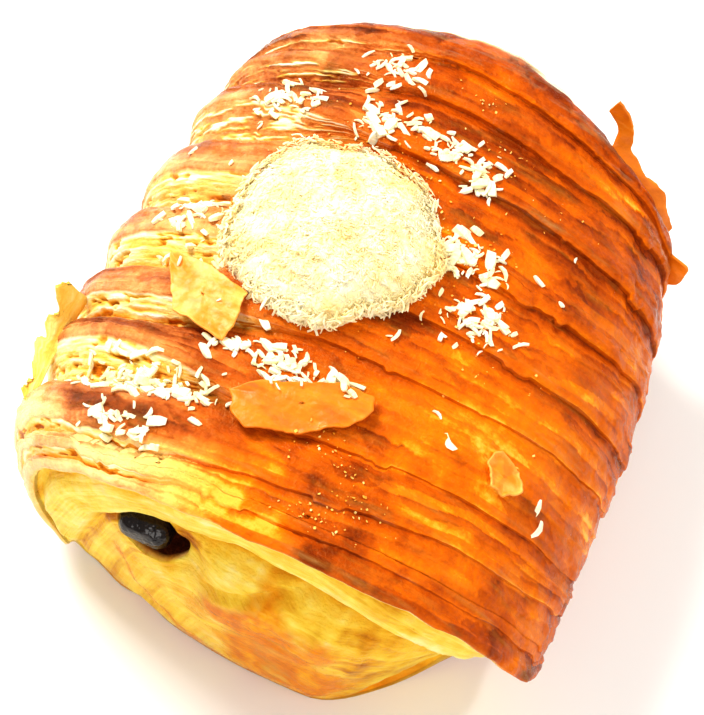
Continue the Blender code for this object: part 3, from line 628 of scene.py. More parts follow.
def ellipse(deg, x, z, width, height, power):
    """Outline round a middle point, squarer for a higher power."""
    rad = np.radians(deg)
    c = np.cos(rad)
    s = np.sin(rad)
    px = x + 0.5 * width * np.sign(c) * np.abs(c) ** (2.0 / power)
    pz = z + 0.5 * height * np.sign(s) * np.abs(s) ** (2.0 / power)
    return px, pz


def mouth(deg):
    """Outline of the slot's mouth, drawn out to a point beside the stick."""
    px, pz = ellipse(deg, STICK_X + MOUTH_OFFSET, STICK_Z, MOUTH_WIDTH, MOUTH_HEIGHT, MOUTH_POWER)
    point = np.clip(np.cos(np.radians(deg)), 0.0, 1.0) ** 8
    return px + MOUTH_POINT * point, pz + 0.3 * MOUTH_POINT * point


def face_rings(deg, rim, near, count):
    """Rings from the crust's rim in to the mouth of the slot."""
    under = 1.6 * relief_share(deg)
    mouth_x, mouth_z = mouth(deg)
    rings = []
    for share in np.linspace(0.0, 1.0, count)[1:]:
        share = share ** 0.9
        x = rim[:, 0] + (mouth_x - rim[:, 0]) * share
        z = rim[:, 2] + (mouth_z - rim[:, 2]) * share
        y = face_depth(x, z, near)
        tuck = 1.0 - smooth(0.0, 0.22, share)
        step = smooth(0.0, 0.03, share)
        y = y * (1.0 - tuck) + tuck * (rim[:, 1] + (under if near else -under) * step)
        rings.append(np.stack([x, y, np.maximum(z, 0.0)], axis=-1))
    return rings


stick_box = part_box("chocolate_stick")
stick_middle = [0.5 * (stick_box[0][i] + stick_box[1][i]) / MM for i in range(3)]
SHIFT = np.array([stick_middle[0] - STICK_X, stick_middle[1] - 0.5 * (STICK_NEAR + STICK_FAR), 0.0])


def add_values(mesh, key, values):
    """Store a number or a vector for every point of a mesh."""
    values = np.asarray(values, dtype=np.float32)
    kind, part = ("FLOAT_VECTOR", "vector") if values.ndim == 2 else ("FLOAT", "value")
    mesh.attributes.new(key, kind, "POINT").data.foreach_set(part, values.ravel())


def add_mesh(name, verts, faces, attributes=None):
    """Mesh object from millimetre vertices, shifted to stand over the origin."""
    mesh = bpy.data.meshes.new(name)
    verts = (np.asarray(verts, dtype=float) + SHIFT) * MM
    mesh.from_pydata(verts.tolist(), [], faces)
    for key, values in (attributes or {}).items():
        add_values(mesh, key, values)
    mesh.polygons.foreach_set("use_smooth", [True] * len(mesh.polygons))
    mesh.update()
    obj = bpy.data.objects.new(name, mesh)
    bpy.context.scene.collection.objects.link(obj)
    return obj


def ring_faces(rows, count):
    """Quads between closed rings of the same number of points."""
    i = np.arange(rows - 1)[:, None] * count
    j = np.arange(count)[None, :]
    k = (j + 1) % count
    quads = np.stack([i + j, i + k, i + count + k, i + count + j], axis=-1)
    return quads.reshape(-1, 4).tolist()


def settle(obj, material, replaced):
    """Give a finished piece its material, body and place in the part."""
    obj.data.materials.clear()
    obj.data.materials.append(material)
    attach(obj, "root")
    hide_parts(*replaced)
    return obj


def face_outwards(obj, agree=False):
    """Turn a closed mesh's faces outwards, first made to agree with each other where asked."""
    bm = bmesh.new()
    bm.from_mesh(obj.data)
    if agree:
        bmesh.ops.recalc_face_normals(bm, faces=bm.faces)
    if bm.calc_volume(signed=True) < 0.0:
        bmesh.ops.reverse_faces(bm, faces=bm.faces)
    bm.to_mesh(obj.data)
    bm.free()
    return obj


def inner_ring(ring):
    """Ring drawn in towards the middle of the roll, so that a cut stays clear of the open faces."""
    middle = np.mean(ring, axis=0)
    drawn = middle + 0.9 * (ring - middle)
    drawn[:, 1] = ring[:, 1] + INNER_DEPTH * np.where(middle[1] < 0.0, 1.0, -1.0)
    return drawn


def closed_slice(name, rings, values, inner_start, inner_end):
    """Slice of the roll: rings with a fan of faces closing each end."""
    count = len(rings[0])
    if inner_start:
        rings = [inner_ring(rings[0])] + list(rings)
        values = [values[0]] + list(values)
    if inner_end:
        rings = list(rings) + [inner_ring(rings[-1])]
        values = list(values) + [values[-1]]
    verts = np.concatenate(rings, axis=0)
    faces = ring_faces(len(rings), count)
    ends = []
    for ring, reverse in ((0, True), (len(rings) - 1, False)):
        middle = len(verts) + len(ends)
        ends.append(np.mean(rings[ring], axis=0))
        for j in range(count):
            a = ring * count + j
            b = ring * count + (j + 1) % count
            faces.append((b, a, middle) if reverse else (a, b, middle))
    verts = np.concatenate([verts, np.array(ends)], axis=0)
    data = {}
    for key in values[0]:
        rows = [v[key] for v in values]
        data[key] = np.concatenate(rows + [rows[0][:1], rows[-1][:1]])
    return face_outwards(add_mesh(name, verts, faces, data))


def bake_amount(x, y):
    """Extra browning of the crust, below zero where it is pale."""
    total = 0.0
    for px, py, rx, ry, amount in BAKE_PATCHES:
        total = total + amount * spot(x, y, px, py, rx, ry)
    return total


def face_values(ring, near):
    """Tone and browning of points on an open face, with painted shade along the seam and in the dent beside
    the stick.
    """
    x, z = ring[:, 0], ring[:, 2]
    off = seam_distance(x, z)
    seed = 0.0 if near else 40.0
    tone = 0.56 + 0.14 * rough(0.16 * x, off, 3.0, 1.7, 21, 3) + 0.24 * rough(x, z, 6.0 + seed, 4.0, 93, 4)
    gold = smooth(3.5, 0.5, z) * 0.7 + 0.22 * rough(x, z, 3.0 + seed, 8.0, 92)
    gold = gold - 0.35 * np.exp(-((off - 6.0) / 5.0) ** 2)
    if near:
        place = ((x - 10.5 + 0.25 * (z - 16.0)) / 12.5) ** 2 + ((z - 14.5) / 15.0) ** 2
        patch = smooth(1.45, 0.35, place + 0.55 * rough(x, z, 0.0, 6.0, 91, 3))
        line = z - np.interp(x, STREAK_X, STREAK_GOLD_Z)
        line = np.exp(-((line - 0.4) / 1.5) ** 2) * smooth(-23.0, -19.5, x) * smooth(0.0, -4.0, x)
        gold = gold + 0.85 * patch + 0.8 * line
        ends = smooth(40.0, 33.0, x) * (0.35 + 0.65 * smooth(-26.0, -18.0, x))
        # Painted shade along the seam.
        tone = tone - 0.85 * np.exp(-((off + 0.3) / 0.8) ** 2) * ends
        tone = tone + 0.12 * np.exp(-((off - 6.0) / 4.0) ** 2)
        tone = tone - 0.30 * spot(x, z, 25.0, 20.0, 4.0, 12.0)
        # Painted shade in the dent beside the stick.
        tone = tone - 1.0 * spot(x, z, -8.8, 30.2, 2.6, 1.6)
        tone = tone + 0.10 * smooth(24.0, 30.0, x) * np.sin(2.0 * math.pi * (off + 0.15 * x) / 2.6)
    else:
        gold = gold + 0.45 * smooth(0.2, 0.8, rough(x, z, 44.0, 9.0, 95, 3))
        # Painted shade along the seam.
        tone = tone - 0.45 * np.exp(-(off / 1.4) ** 2) * smooth(40.0, 30.0, x) + 0.10
    return {
        "pale": 1.0 + 0.0 * x,
        "toast_and_painted_light": np.clip(gold, 0.0, 1.0),
        "left": smooth(10.0, -20.0, x),
        "dough": 1.0 + 0.0 * x,
        "tone": np.clip(tone, 0.0, 1.0),
        "grain": np.stack([x * MM, off * MM, 0.0 * x], axis=-1),
    }


def build_roll():
    """The crust strips and both open faces, in slices, with their browning and painted light and shade stored
    on the points.
    """
    deg = np.concatenate([
        np.linspace(-90.0, -14.0, 34, endpoint=False),
        np.linspace(-14.0, 196.0, 520, endpoint=False),
        np.linspace(196.0, 270.0, 34, endpoint=False),
    ])
    x0, z0 = section(deg, 0.0 * deg)
    steps = np.hypot(np.diff(x0, prepend=x0[0]), np.diff(z0, prepend=z0[0]))
    arc = np.cumsum(steps)
    near_rim = by_angle(NEAR_RIM, deg)
    far_rim = np.interp(deg, FAR_ANGLES, FAR_RIM)
    near_limit = face_depth(*section(deg, near_rim), True, False) + 1.0
    far_limit = face_depth(*section(deg, far_rim), False, False) - 1.0
    low = np.maximum(1.0 - relief_share(deg), smooth(28.0, -15.0, deg))
    share = relief_share(deg)
    left = leftness(deg)
    rings = []
    values = []
    for y, rise, pale, lip, brown, tone in crust_rows(deg, arc):
        along = (y - near_rim) / (far_rim - near_rim)
        y = y + low * (near_limit + along * (far_limit - near_limit) - y)
        streak = rough(arc / 8.0, y, 0.0, 1.3, 11, 3)
        wrinkle = rough(arc, y, 0.0, 5.0, 12, 5)
        pits = smooth(0.25, 0.8, rough(arc, y, 5.0, 2.4, 14, 3))
        bump_height = share * (0.07 * streak + 0.15 * wrinkle - 0.12 * pits) * (1.0 - 0.6 * pale)
        torn = rough(arc, y, 8.0, 3.0, 15, 3)
        bump_height = bump_height + 0.45 * share * smooth(50.0, 20.0, deg) * torn
        x, z = section(deg, y)
        nx, nz = outward(deg, y)
        total = rise + bump_height
        rings.append(np.stack([x + total * nx, y, np.maximum(z + total * nz, 0.0)], axis=-1))
        slow = rough(x, y, z, 15.0, 16, 3)
        toast_and_painted_light = 0.42 + 0.08 * (1.0 - left) + 0.17 * slow + bake_amount(x, y) + brown
        # Lighter at the lips on the right: partly the pale edge of each sheet, partly a painted highlight.
        toast_and_painted_light = toast_and_painted_light + 0.10 * wrinkle + 0.07 * streak + 0.06 * pits - 0.30 * lip ** 2 * (1.0 - left)
        blotch = smooth(-0.1, 0.6, rough(x, y, z, 5.5, 18, 3))
        blotch = blotch - 0.5 * smooth(0.1, 0.7, rough(x, y, z, 7.0, 19, 3))
        toast_and_painted_light = toast_and_painted_light + 0.26 * blotch * (0.25 + 0.75 * smooth(-15.0, -32.0, y)) * (1.0 - left)
        values.append({
            "pale": np.clip(pale, 0.0, 1.0),
            "toast_and_painted_light": np.clip(toast_and_painted_light, 0.0, 1.0),
            "left": left + 0.0 * deg,
            "dough": 0.0 * deg,
            "tone": np.clip(tone, 0.0, 1.0),
            "grain": np.stack([arc * MM, y * MM, 0.0 * y], axis=-1),
        })
    near = face_rings(deg, rings[0], True, NEAR_RINGS)
    far = face_rings(deg, rings[-1], False, FAR_RINGS)
    mouth_near = [near[-1] + np.array([0.0, d, 0.0]) for d in (1.5, 4.0, SLOT_DEPTH)]
    mouth_far = [far[-1] - np.array([0.0, d, 0.0]) for d in (1.5, 4.0, SLOT_DEPTH)]
    head = list(reversed(mouth_near)) + list(reversed(near))
    tail = far + mouth_far
    all_rings = head + rings + tail
    all_values = [face_values(r, True) for r in head] + values + [face_values(r, False) for r in tail]
    none = 0.0 * deg
    # The inside of the slot round the stick takes the darkest crust colour: painted shade.
    for row in (0, 1, 2, -1, -2, -3):
        all_values[row].update({"toast_and_painted_light": none + 1.0, "left": none + 1.0, "dough": none, "pale": none})
    limit = SLICE_POINTS // len(deg) - 2
    cuts = [0, limit]
    while len(all_rings) - cuts[-1] > limit:
        cuts.append(cuts[-1] + limit)
    cuts.append(len(all_rings))
    slices = []
    for i in range(len(cuts) - 1):
        a = cuts[i]
        b = min(cuts[i + 1] + 1, len(all_rings))
        inner_ends = (i > 0, b < len(all_rings))
        slices.append(closed_slice("crust_slice_%d" % i, all_rings[a:b], all_values[a:b], *inner_ends))
    return slices


def new_material(name):
    """New material with its node tree and its shader."""
    material = bpy.data.materials.new(name)
    material.use_nodes = True
    tree = material.node_tree
    return material, tree, tree.nodes["Principled BSDF"]


def feed(tree, made, inputs):
    """Give inputs of a node their values, or link them."""
    for key, value in inputs.items():
        if isinstance(value, bpy.types.NodeSocket):
            tree.links.new(value, made.inputs[key])
        else:
            made.inputs[key].default_value = value


def node(tree, kind, inputs=None, **settings):
    """New node with its settings and its inputs."""
    made = tree.nodes.new(kind)
    for key, value in settings.items():
        setattr(made, key, value)
    feed(tree, made, inputs or {})
    return made


def attribute(tree, name):
    """Value stored at the points of the mesh."""
    return node(tree, "ShaderNodeAttribute", attribute_name=name).outputs["Fac"]


def noise_at(tree, scale, detail=4.0, roughness=0.55, stretch=None, grain=False):
    """Noise on Object coordinates, or along the layers; scale is in features per metre."""
    if grain:
        place = node(tree, "ShaderNodeAttribute", attribute_name="grain").outputs["Vector"]
    else:
        place = node(tree, "ShaderNodeTexCoord").outputs["Object"]
    if stretch is not None:
        place = node(tree, "ShaderNodeMapping", {"Scale": stretch, "Vector": place}).outputs["Vector"]
    inputs = {"Vector": place, "Scale": scale, "Detail": detail, "Roughness": roughness}
    return node(tree, "ShaderNodeTexNoise", inputs).outputs["Fac"]


def maths(tree, operation, *values, clamp=False):
    """Sum, product or another operation of values and sockets."""
    made = node(tree, "ShaderNodeMath", dict(enumerate(values)), operation=operation, use_clamp=clamp)
    return made.outputs[0]


def vary(tree, value, noise, amount, clamp=False):
    """Value moved up and down by centred noise."""
    return maths(tree, "MULTIPLY_ADD", maths(tree, "SUBTRACT", noise, 0.5), amount, value, clamp=clamp)


def ramp(tree, value, stops):
    """Colours along a value."""
    made = node(tree, "ShaderNodeValToRGB", {"Fac": value})
    elements = made.color_ramp.elements
    while len(elements) < len(stops):
        elements.new(0.5)
    for element, (place, colour) in zip(elements, stops):
        element.position = place
        element.color = (*colour, 1.0)
    return made.outputs["Color"]


def mix(tree, share, a, b):
    """Colour between a and b."""
    made = node(tree, "ShaderNodeMix", data_type="RGBA")
    feed(tree, made, {"Factor": share, "A": a, "B": b})
    return next(s for s in made.outputs if s.type == "RGBA")


def bump(tree, shader, height, strength, distance):
    """Fine relief of the surface and of its glaze."""
    inputs = {"Strength": strength, "Distance": distance, "Height": height}
    normal = node(tree, "ShaderNodeBump", inputs).outputs["Normal"]
    feed(tree, shader, {"Normal": normal, "Coat Normal": normal})


def paint(tree, shader, colour, roughness, reflection):
    """Colour, roughness and strength of reflection of a material."""
    feed(tree, shader, {"Base Color": colour, "Roughness": roughness, "Specular IOR Level": reflection})


def crust_material():
    """Egg-washed crust that turns to pale layered dough on the flanks and the open faces."""
    material, tree, shader = new_material("baked_dough")
    toast_and_painted_light, pale, left, dough, tone = (attribute(tree, k) for k in ("toast_and_painted_light", "pale", "left", "dough", "tone"))
    mottle = noise_at(tree, 240.0, 6.0, 0.62)
    streaks = noise_at(tree, 380.0, 6.0, 0.62, (0.16, 1.0, 1.0), True)
    hatch = noise_at(tree, 420.0, 4.0, 0.6, (1.0, 0.14, 1.0), True)
    speck = noise_at(tree, 1300.0, 4.0, 0.6)
    shift = vary(tree, toast_and_painted_light, mottle, 0.50)
    shift = vary(tree, shift, streaks, maths(tree, "MULTIPLY_ADD", left, -0.16, 0.42))
    shift = vary(tree, shift, hatch, 0.22)
    shift = vary(tree, shift, speck, 0.32, True)
    brown = ramp(tree, shift, (
        (0.0, (0.94, 0.48, 0.055)),
        (0.11, (0.89, 0.33, 0.014)),
        (0.24, (0.79, 0.186, 0.0020)),
        (0.48, (0.64, 0.118, 0.0014)),
        (0.74, (0.44, 0.066, 0.0012)),
        (1.0, (0.20, 0.024, 0.0010)),
    ))
    # Crust colours for the left side, pinker and less saturated than the right's: partly the crust's own
    # colour, partly painted light where the key lamp washes that side out.
    rosy_lit_side = ramp(tree, shift, (
        (0.0, (0.97, 0.70, 0.30)),
        (0.3, (0.82, 0.42, 0.145)),
        (0.55, (0.55, 0.165, 0.042)),
        (0.78, (0.27, 0.052, 0.011)),
        (1.0, (0.07, 0.014, 0.004)),
    ))
    crust = mix(tree, left, brown, rosy_lit_side)
    ply = noise_at(tree, 1100.0, 5.0, 0.62, (0.10, 1.0, 1.0), True)
    layer = vary(tree, tone, ply, 0.95)
    layer = vary(tree, layer, mottle, 0.35, True)
    cream = ramp(tree, layer, (
        (0.0, (0.55, 0.15, 0.006)),
        (0.24, (0.82, 0.36, 0.03)),
        (0.48, (0.93, 0.61, 0.11)),
        (0.70, (0.97, 0.82, 0.34)),
        (1.0, (0.99, 0.96, 0.75)),
    ))
    butter = ramp(tree, layer, (
        (0.0, (0.40, 0.12, 0.006)),
        (0.24, (0.72, 0.33, 0.016)),
        (0.48, (0.92, 0.59, 0.050)),
        (0.72, (0.97, 0.74, 0.12)),
        (1.0, (0.99, 0.88, 0.38)),
    ))
    cream = mix(tree, dough, cream, butter)
    gold = ramp(tree, mottle, (
        (0.3, (0.60, 0.13, 0.0015)),
        (0.5, (0.80, 0.24, 0.004)),
        (0.7, (0.93, 0.42, 0.012)),
    ))
    patch = vary(tree, vary(tree, toast_and_painted_light, streaks, 0.8), mottle, 1.1)
    patch = maths(tree, "MULTIPLY", patch, maths(tree, "MULTIPLY", dough, 1.3), clamp=True)
    face = mix(tree, patch, cream, gold)
    edge = vary(tree, pale, streaks, 0.8, True)
    keep = maths(tree, "MAXIMUM", dough, edge)
    colour = mix(tree, keep, crust, face)
    wet = maths(tree, "MULTIPLY_ADD", keep, 0.16, 0.19)
    wet = maths(tree, "MULTIPLY_ADD", patch, -0.18, wet)
    wet = vary(tree, wet, mottle, 0.35)
    wet = vary(tree, wet, speck, 0.25, True)
    paint(tree, shader, colour, wet, 0.22)
    feed(tree, shader, {
        "Specular Tint": (1.0, 0.62, 0.16, 1.0),
        "Coat Weight": 0.07,
        "Coat Roughness": 0.06,
        "Coat IOR": 1.45,
    })
    height = maths(tree, "MULTIPLY_ADD", speck, 0.6, streaks)
    height = maths(tree, "MULTIPLY_ADD", ply, maths(tree, "MULTIPLY", keep, 0.8), height)
    bump(tree, shader, height, 0.75, 0.0008)
    return material


def flake_material():
    """Thin loose sheet of crust, golden with fine streaks."""
    material, tree, shader = new_material("loose_flake")
    mottle = noise_at(tree, 200.0, 6.0, 0.62)
    streaks = noise_at(tree, 500.0, 5.0, 0.6, (0.2, 1.0, 1.0))
    value = maths(tree, "MULTIPLY_ADD", streaks, 0.5, maths(tree, "MULTIPLY", mottle, 0.5))
    value = maths(tree, "ADD", value, attribute(tree, "tint"))
    value = maths(tree, "MULTIPLY_ADD", attribute(tree, "rim"), 0.05, value, clamp=True)
    colour = ramp(tree, value, (
        (0.25, (0.62, 0.14, 0.003)),
        (0.48, (0.86, 0.24, 0.006)),
        (0.66, (0.95, 0.46, 0.09)),
        (0.9, (0.98, 0.68, 0.26)),
    ))
    paint(tree, shader, colour, 0.42, 0.35)
    bump(tree, shader, noise_at(tree, 900.0, 4.0, 0.6), 0.35, 0.0005)
    return material


def coconut_material(name, warm):
    """Grated coconut, turned from white towards cream by the given warmth."""
    material, tree, shader = new_material(name)
    mottle = noise_at(tree, 180.0, 5.0, 0.6)
    colour = ramp(tree, mottle, (
        (0.3, (0.97, 0.83 - 2.0 * warm, 0.40 - 2.0 * warm)),
        (0.46, (0.98, 0.92 - 1.6 * warm, 0.56 - 2.0 * warm)),
        (0.62, (0.99, 0.96 - 0.9 * warm, 0.72 - 1.4 * warm)),
    ))
    paint(tree, shader, colour, 0.7, 0.25)
    feed(tree, shader, {
        "Subsurface Weight": 0.3,
        "Subsurface Radius": (1.0, 0.85, 0.55),
        "Subsurface Scale": 0.0012,
    })
    bump(tree, shader, noise_at(tree, 1900.0, 3.0, 0.5), 0.4, 0.0003)
    return material


def crumb_glint_material():
    """Tiny golden crumbs with a glazed surface, pale enough to stand as painted glints."""
    material, tree, shader = new_material("crumb_glint")
    colour = ramp(tree, noise_at(tree, 500.0, 2.0, 0.5), (
        (0.35, (0.92, 0.36, 0.02)),
        (0.55, (0.97, 0.62, 0.13)),
        (0.75, (0.99, 0.88, 0.45)),
    ))
    paint(tree, shader, colour, 0.25, 0.5)
    return material


def chocolate_material():
    """Dark chocolate: smooth and faintly mottled."""
    material, tree, shader = new_material("dark_chocolate")
    mottle = noise_at(tree, 300.0, 4.0, 0.55)
    colour = ramp(tree, mottle, (
        (0.35, (0.007, 0.004, 0.004)),
        (0.7, (0.022, 0.014, 0.012)),
    ))
    paint(tree, shader, colour, 0.2, 0.4)
    bump(tree, shader, noise_at(tree, 300.0, 3.0, 0.5), 0.8, 0.0014)
    return material


def build_flake(name, corners, seed, wobble, tint, thickness=0.35):
    """Loose flake: an uneven sheet over the crust, thickened by Solidify."""
    ring = np.array(corners)
    count = 200
    nodes = np.concatenate([ring, ring[:1]])
    lengths = np.concatenate([[0.0], np.cumsum(np.hypot(*np.diff(nodes[:, :2], axis=0).T))])
    at = np.linspace(0.0, lengths[-1], count, endpoint=False)
    edge = np.stack([np.interp(at, lengths, nodes[:, i]) for i in range(3)], axis=-1)
    middle = ring.mean(axis=0)
    torn = wobble * rough(edge[:, 0], edge[:, 1], 0.0, 2.5, seed, 4)
    outward_way = edge[:, :2] - middle[:2]
    outward_way /= np.linalg.norm(outward_way, axis=1)[:, None]
    edge[:, :2] += outward_way * torn[:, None]
    verts = []
    rims = []
    shares = np.linspace(0.03, 1.0, 30)
    for share in shares:
        p = middle + (edge - middle) * share
        x, y = p[:, 0], p[:, 1]
        crease = 0.45 * rough(x, y, 0.0, 8.0, seed + 5, 4) + 0.10 * rough(x, y, 0.0, 1.5, seed + 6, 2)
        curl = 0.5 * share ** 5 * (0.6 + rough(edge[:, 0], edge[:, 1], 0.0, 6.0, seed + 9))
        z = plain_height(x, y) + p[:, 2] + 0.3 * (1.0 - share) + crease + curl
        verts.append(np.stack([x, y, z], axis=-1))
        rims.append(np.full(count, smooth(0.85, 1.0, share)))
    faces = ring_faces(len(shares), count)
    faces.append(tuple(range(count)))
    obj = add_mesh(name, np.concatenate(verts), faces,
                   {"rim": np.concatenate(rims), "tint": np.full(count * len(shares), tint)})
    bm = bmesh.new()
    bm.from_mesh(obj.data)
    bm.normal_update()
    if sum(f.normal.z * f.calc_area() for f in bm.faces) < 0.0:
        bmesh.ops.reverse_faces(bm, faces=bm.faces)
    bm.to_mesh(obj.data)
    bm.free()
    return thicken(obj, thickness)


def thicken(obj, thickness):
    """Give a thin sheet its thickness."""
    shell = obj.modifiers.new("thickness", "SOLIDIFY")
    shell.thickness = thickness * MM
    shell.offset = -1.0
    return bake_modifiers(obj)


def bake_modifiers(obj):
    """Turn the modified shape into plain mesh."""
    graph = bpy.context.evaluated_depsgraph_get()
    graph.update()
    mesh = bpy.data.meshes.new_from_object(obj.evaluated_get(graph))
    obj.modifiers.clear()
    obj.data = mesh
    mesh.polygons.foreach_set("use_smooth", [True] * len(mesh.polygons))
    return obj


def spline(path, count):
    """Smooth path through its points."""
    path = np.array(path, dtype=float)
    n = len(path)
    at = np.linspace(0.0, n - 1.0, count)
    out = []
    for t in at:
        i = min(int(t), n - 2)
        f = t - i
        p0 = path[max(i - 1, 0)]
        p1 = path[i]
        p2 = path[i + 1]
        p3 = path[min(i + 2, n - 1)]
        out.append(0.5 * (2.0 * p1 + (p2 - p0) * f + (2.0 * p0 - 5.0 * p1 + 4.0 * p2 - p3) * f * f
                          + (3.0 * p1 - p0 - 3.0 * p2 + p3) * f * f * f))
    return np.array(out)


def build_sheet(name, foot, edge, seed, tint, wobble=0.35, thickness=0.5):
    """Torn sheet between its foot in the crust and its free edge, with values for either material."""
    count = 90
    high = 16
    low_line = spline(foot, count)
    high_line = spline(edge, count)
    up = np.linspace(0.0, 1.0, high)
    verts = (low_line[:, None] * (1.0 - up)[:, None] + high_line[:, None] * up[:, None]).reshape(-1, 3)
    x, y, z = verts.T
    ragged = wobble * rough(x, y, z, 2.2, seed, 3)
    way = np.repeat(high_line - low_line, high, axis=0)
    way /= np.linalg.norm(way, axis=1)[:, None]
    verts = verts + way * (ragged * np.tile(up ** 2, count))[:, None]
    x, y, z = verts.T
    verts[:, 1] += 0.35 * rough(x, z, y, 4.0, seed + 3, 3)
    faces = []
    for i in range(count - 1):
        for j in range(high - 1):
            a = i * high + j
            faces.append((a, a + 1, a + high + 1, a + high))
    full = np.ones(len(verts))
    along = np.repeat(np.linspace(0.0, 24.0 * MM, count), high)
    across = np.tile(np.linspace(0.0, 4.0 * MM, high), count)
    obj = add_mesh(name, verts, faces, {
        "rim": np.tile(smooth(0.8, 1.0, up), count),
        "tint": tint * full,
        "pale": full,
        "left": full,
        "toast_and_painted_light": 0.3 * full,
        "tone": 0.52 * full,
        "grain": np.stack([along, across, 0.0 * full], axis=-1),
    })
    return thicken(obj, thickness)


def shred_shape(name, bend, wide, thick, twist, cut):
    """One shred of grated coconut, a bent strip one unit long with slanted ends."""
    steps = 3
    verts = []
    for i in range(steps + 1):
        s = i / steps - 0.5
        taper = 1.0 - 0.35 * abs(2.0 * s) ** 2.0 * (1.0 if s > 0.0 else 0.4)
        angle = twist * s
        middle = (bend * (0.25 - s * s), 0.6 * bend * (0.25 - s * s))
        for a, b in ((-1.0, -1.0), (1.0, -1.0), (1.0, 1.0), (-1.0, 1.0)):
            u = a * 0.5 * wide * taper
            v = b * 0.5 * thick * taper
            slant = cut * a * (1.0 if i in (0, steps) else 0.3)
            verts.append((s + slant, middle[0] + u * math.cos(angle) - v * math.sin(angle),
                          middle[1] + u * math.sin(angle) + v * math.cos(angle)))
    faces = [(3, 2, 1, 0)]
    for i in range(steps):
        for j in range(4):
            k = (j + 1) % 4
            a = 4 * i
            faces.append((a + j, a + k, a + 4 + k, a + 4 + j))
    last = 4 * steps
    faces.append((last, last + 1, last + 2, last + 3))
    mesh = bpy.data.meshes.new(name)
    mesh.from_pydata(verts, [], faces)
    return bpy.data.objects.new(name, mesh)


def shred_collection(name, kinds):
    """Collection of shred shapes: bend, width, thickness, twist and slant of each."""
    shapes = bpy.data.collections.new(name)
    for i, kind in enumerate(kinds):
        shapes.objects.link(shred_shape("%s_%d" % (name, i), *kind))
    return shapes


def scatter_tree(shapes, material):
    """Node tree that puts a random shred on every point, turned to the point's facing."""
    tree = bpy.data.node_groups.new("scatter_shreds", "GeometryNodeTree")
    face = tree.interface
    sockets = {}
    face.new_socket("Geometry", in_out="INPUT", socket_type="NodeSocketGeometry")
    for name, kind in (("Shred Length", "Float"), ("Tilt", "Float"), ("Seed", "Int")):
        made = face.new_socket(name, in_out="INPUT", socket_type="NodeSocket" + kind)
        sockets[name] = made.identifier
    face.new_socket("Geometry", in_out="OUTPUT", socket_type="NodeSocketGeometry")
    enter = node(tree, "NodeGroupInput").outputs
    tilt, seed = enter["Tilt"], enter["Seed"]
    pick = node(tree, "GeometryNodeCollectionInfo",
                {"Collection": shapes, "Separate Children": True, "Reset Children": True})
    facing = node(tree, "GeometryNodeInputNamedAttribute", {"Name": "facing"}, data_type="FLOAT_VECTOR")
    size = node(tree, "GeometryNodeInputNamedAttribute", {"Name": "size"}, data_type="FLOAT")
    align = node(tree, "FunctionNodeAlignRotationToVector", {"Vector": facing.outputs["Attribute"]}, axis="Z")
    minus = maths(tree, "MULTIPLY", tilt, -1.0)
    low = node(tree, "ShaderNodeCombineXYZ", {"X": minus, "Y": minus})
    high = node(tree, "ShaderNodeCombineXYZ", {"X": tilt, "Y": tilt, "Z": 2.0 * math.pi})
    spin = node(tree, "FunctionNodeRandomValue", data_type="FLOAT_VECTOR")
    feed(tree, spin, {"Min": low.outputs[0], "Max": high.outputs[0], "Seed": seed})
    to_turn = node(tree, "FunctionNodeEulerToRotation", {0: spin.outputs["Value"]})
    turn = node(tree, "FunctionNodeRotateRotation", {0: align.outputs[0], 1: to_turn.outputs[0]},
                rotation_space="LOCAL")
    choose = node(tree, "FunctionNodeRandomValue", data_type="INT")
    feed(tree, choose, {4: 0, 5: len(shapes.objects) - 1, "Seed": seed})
    place = node(tree, "GeometryNodeInstanceOnPoints", {
        "Points": enter["Geometry"],
        "Instance": pick.outputs[0],
        "Pick Instance": True,
        "Instance Index": choose.outputs[2],
        "Rotation": turn.outputs[0],
        "Scale": maths(tree, "MULTIPLY", enter["Shred Length"], size.outputs["Attribute"]),
    })
    real = node(tree, "GeometryNodeRealizeInstances", {0: place.outputs[0]})
    coat = node(tree, "GeometryNodeSetMaterial", {"Geometry": real.outputs[0], "Material": material})
    node(tree, "NodeGroupOutput", {0: coat.outputs[0]})
    return tree, sockets


def scatter(name, placed, shapes, material, length, tilt, seed):
    """Shreds on points with a facing and a size each, kept as plain mesh."""
    points, facings, sizes = placed
    mesh = bpy.data.meshes.new(name)
    mesh.from_pydata(((np.array(points) + SHIFT) * MM).tolist(), [], [])
    add_values(mesh, "facing", facings)
    add_values(mesh, "size", sizes)
    obj = bpy.data.objects.new(name, mesh)
    bpy.context.scene.collection.objects.link(obj)
    tree, sockets = scatter_tree(shapes, material)
    modifier = obj.modifiers.new("scatter", "NODES")
    modifier.node_group = tree
    modifier[sockets["Shred Length"]] = length * MM
    modifier[sockets["Tilt"]] = tilt
    modifier[sockets["Seed"]] = seed
    bake_modifiers(obj)
    obj.data.polygons.foreach_set("use_smooth", [False] * len(obj.data.polygons))
    for extra in ("facing", "size"):
        layer = obj.data.attributes.get(extra)
        if layer is not None:
            obj.data.attributes.remove(layer)
    return obj


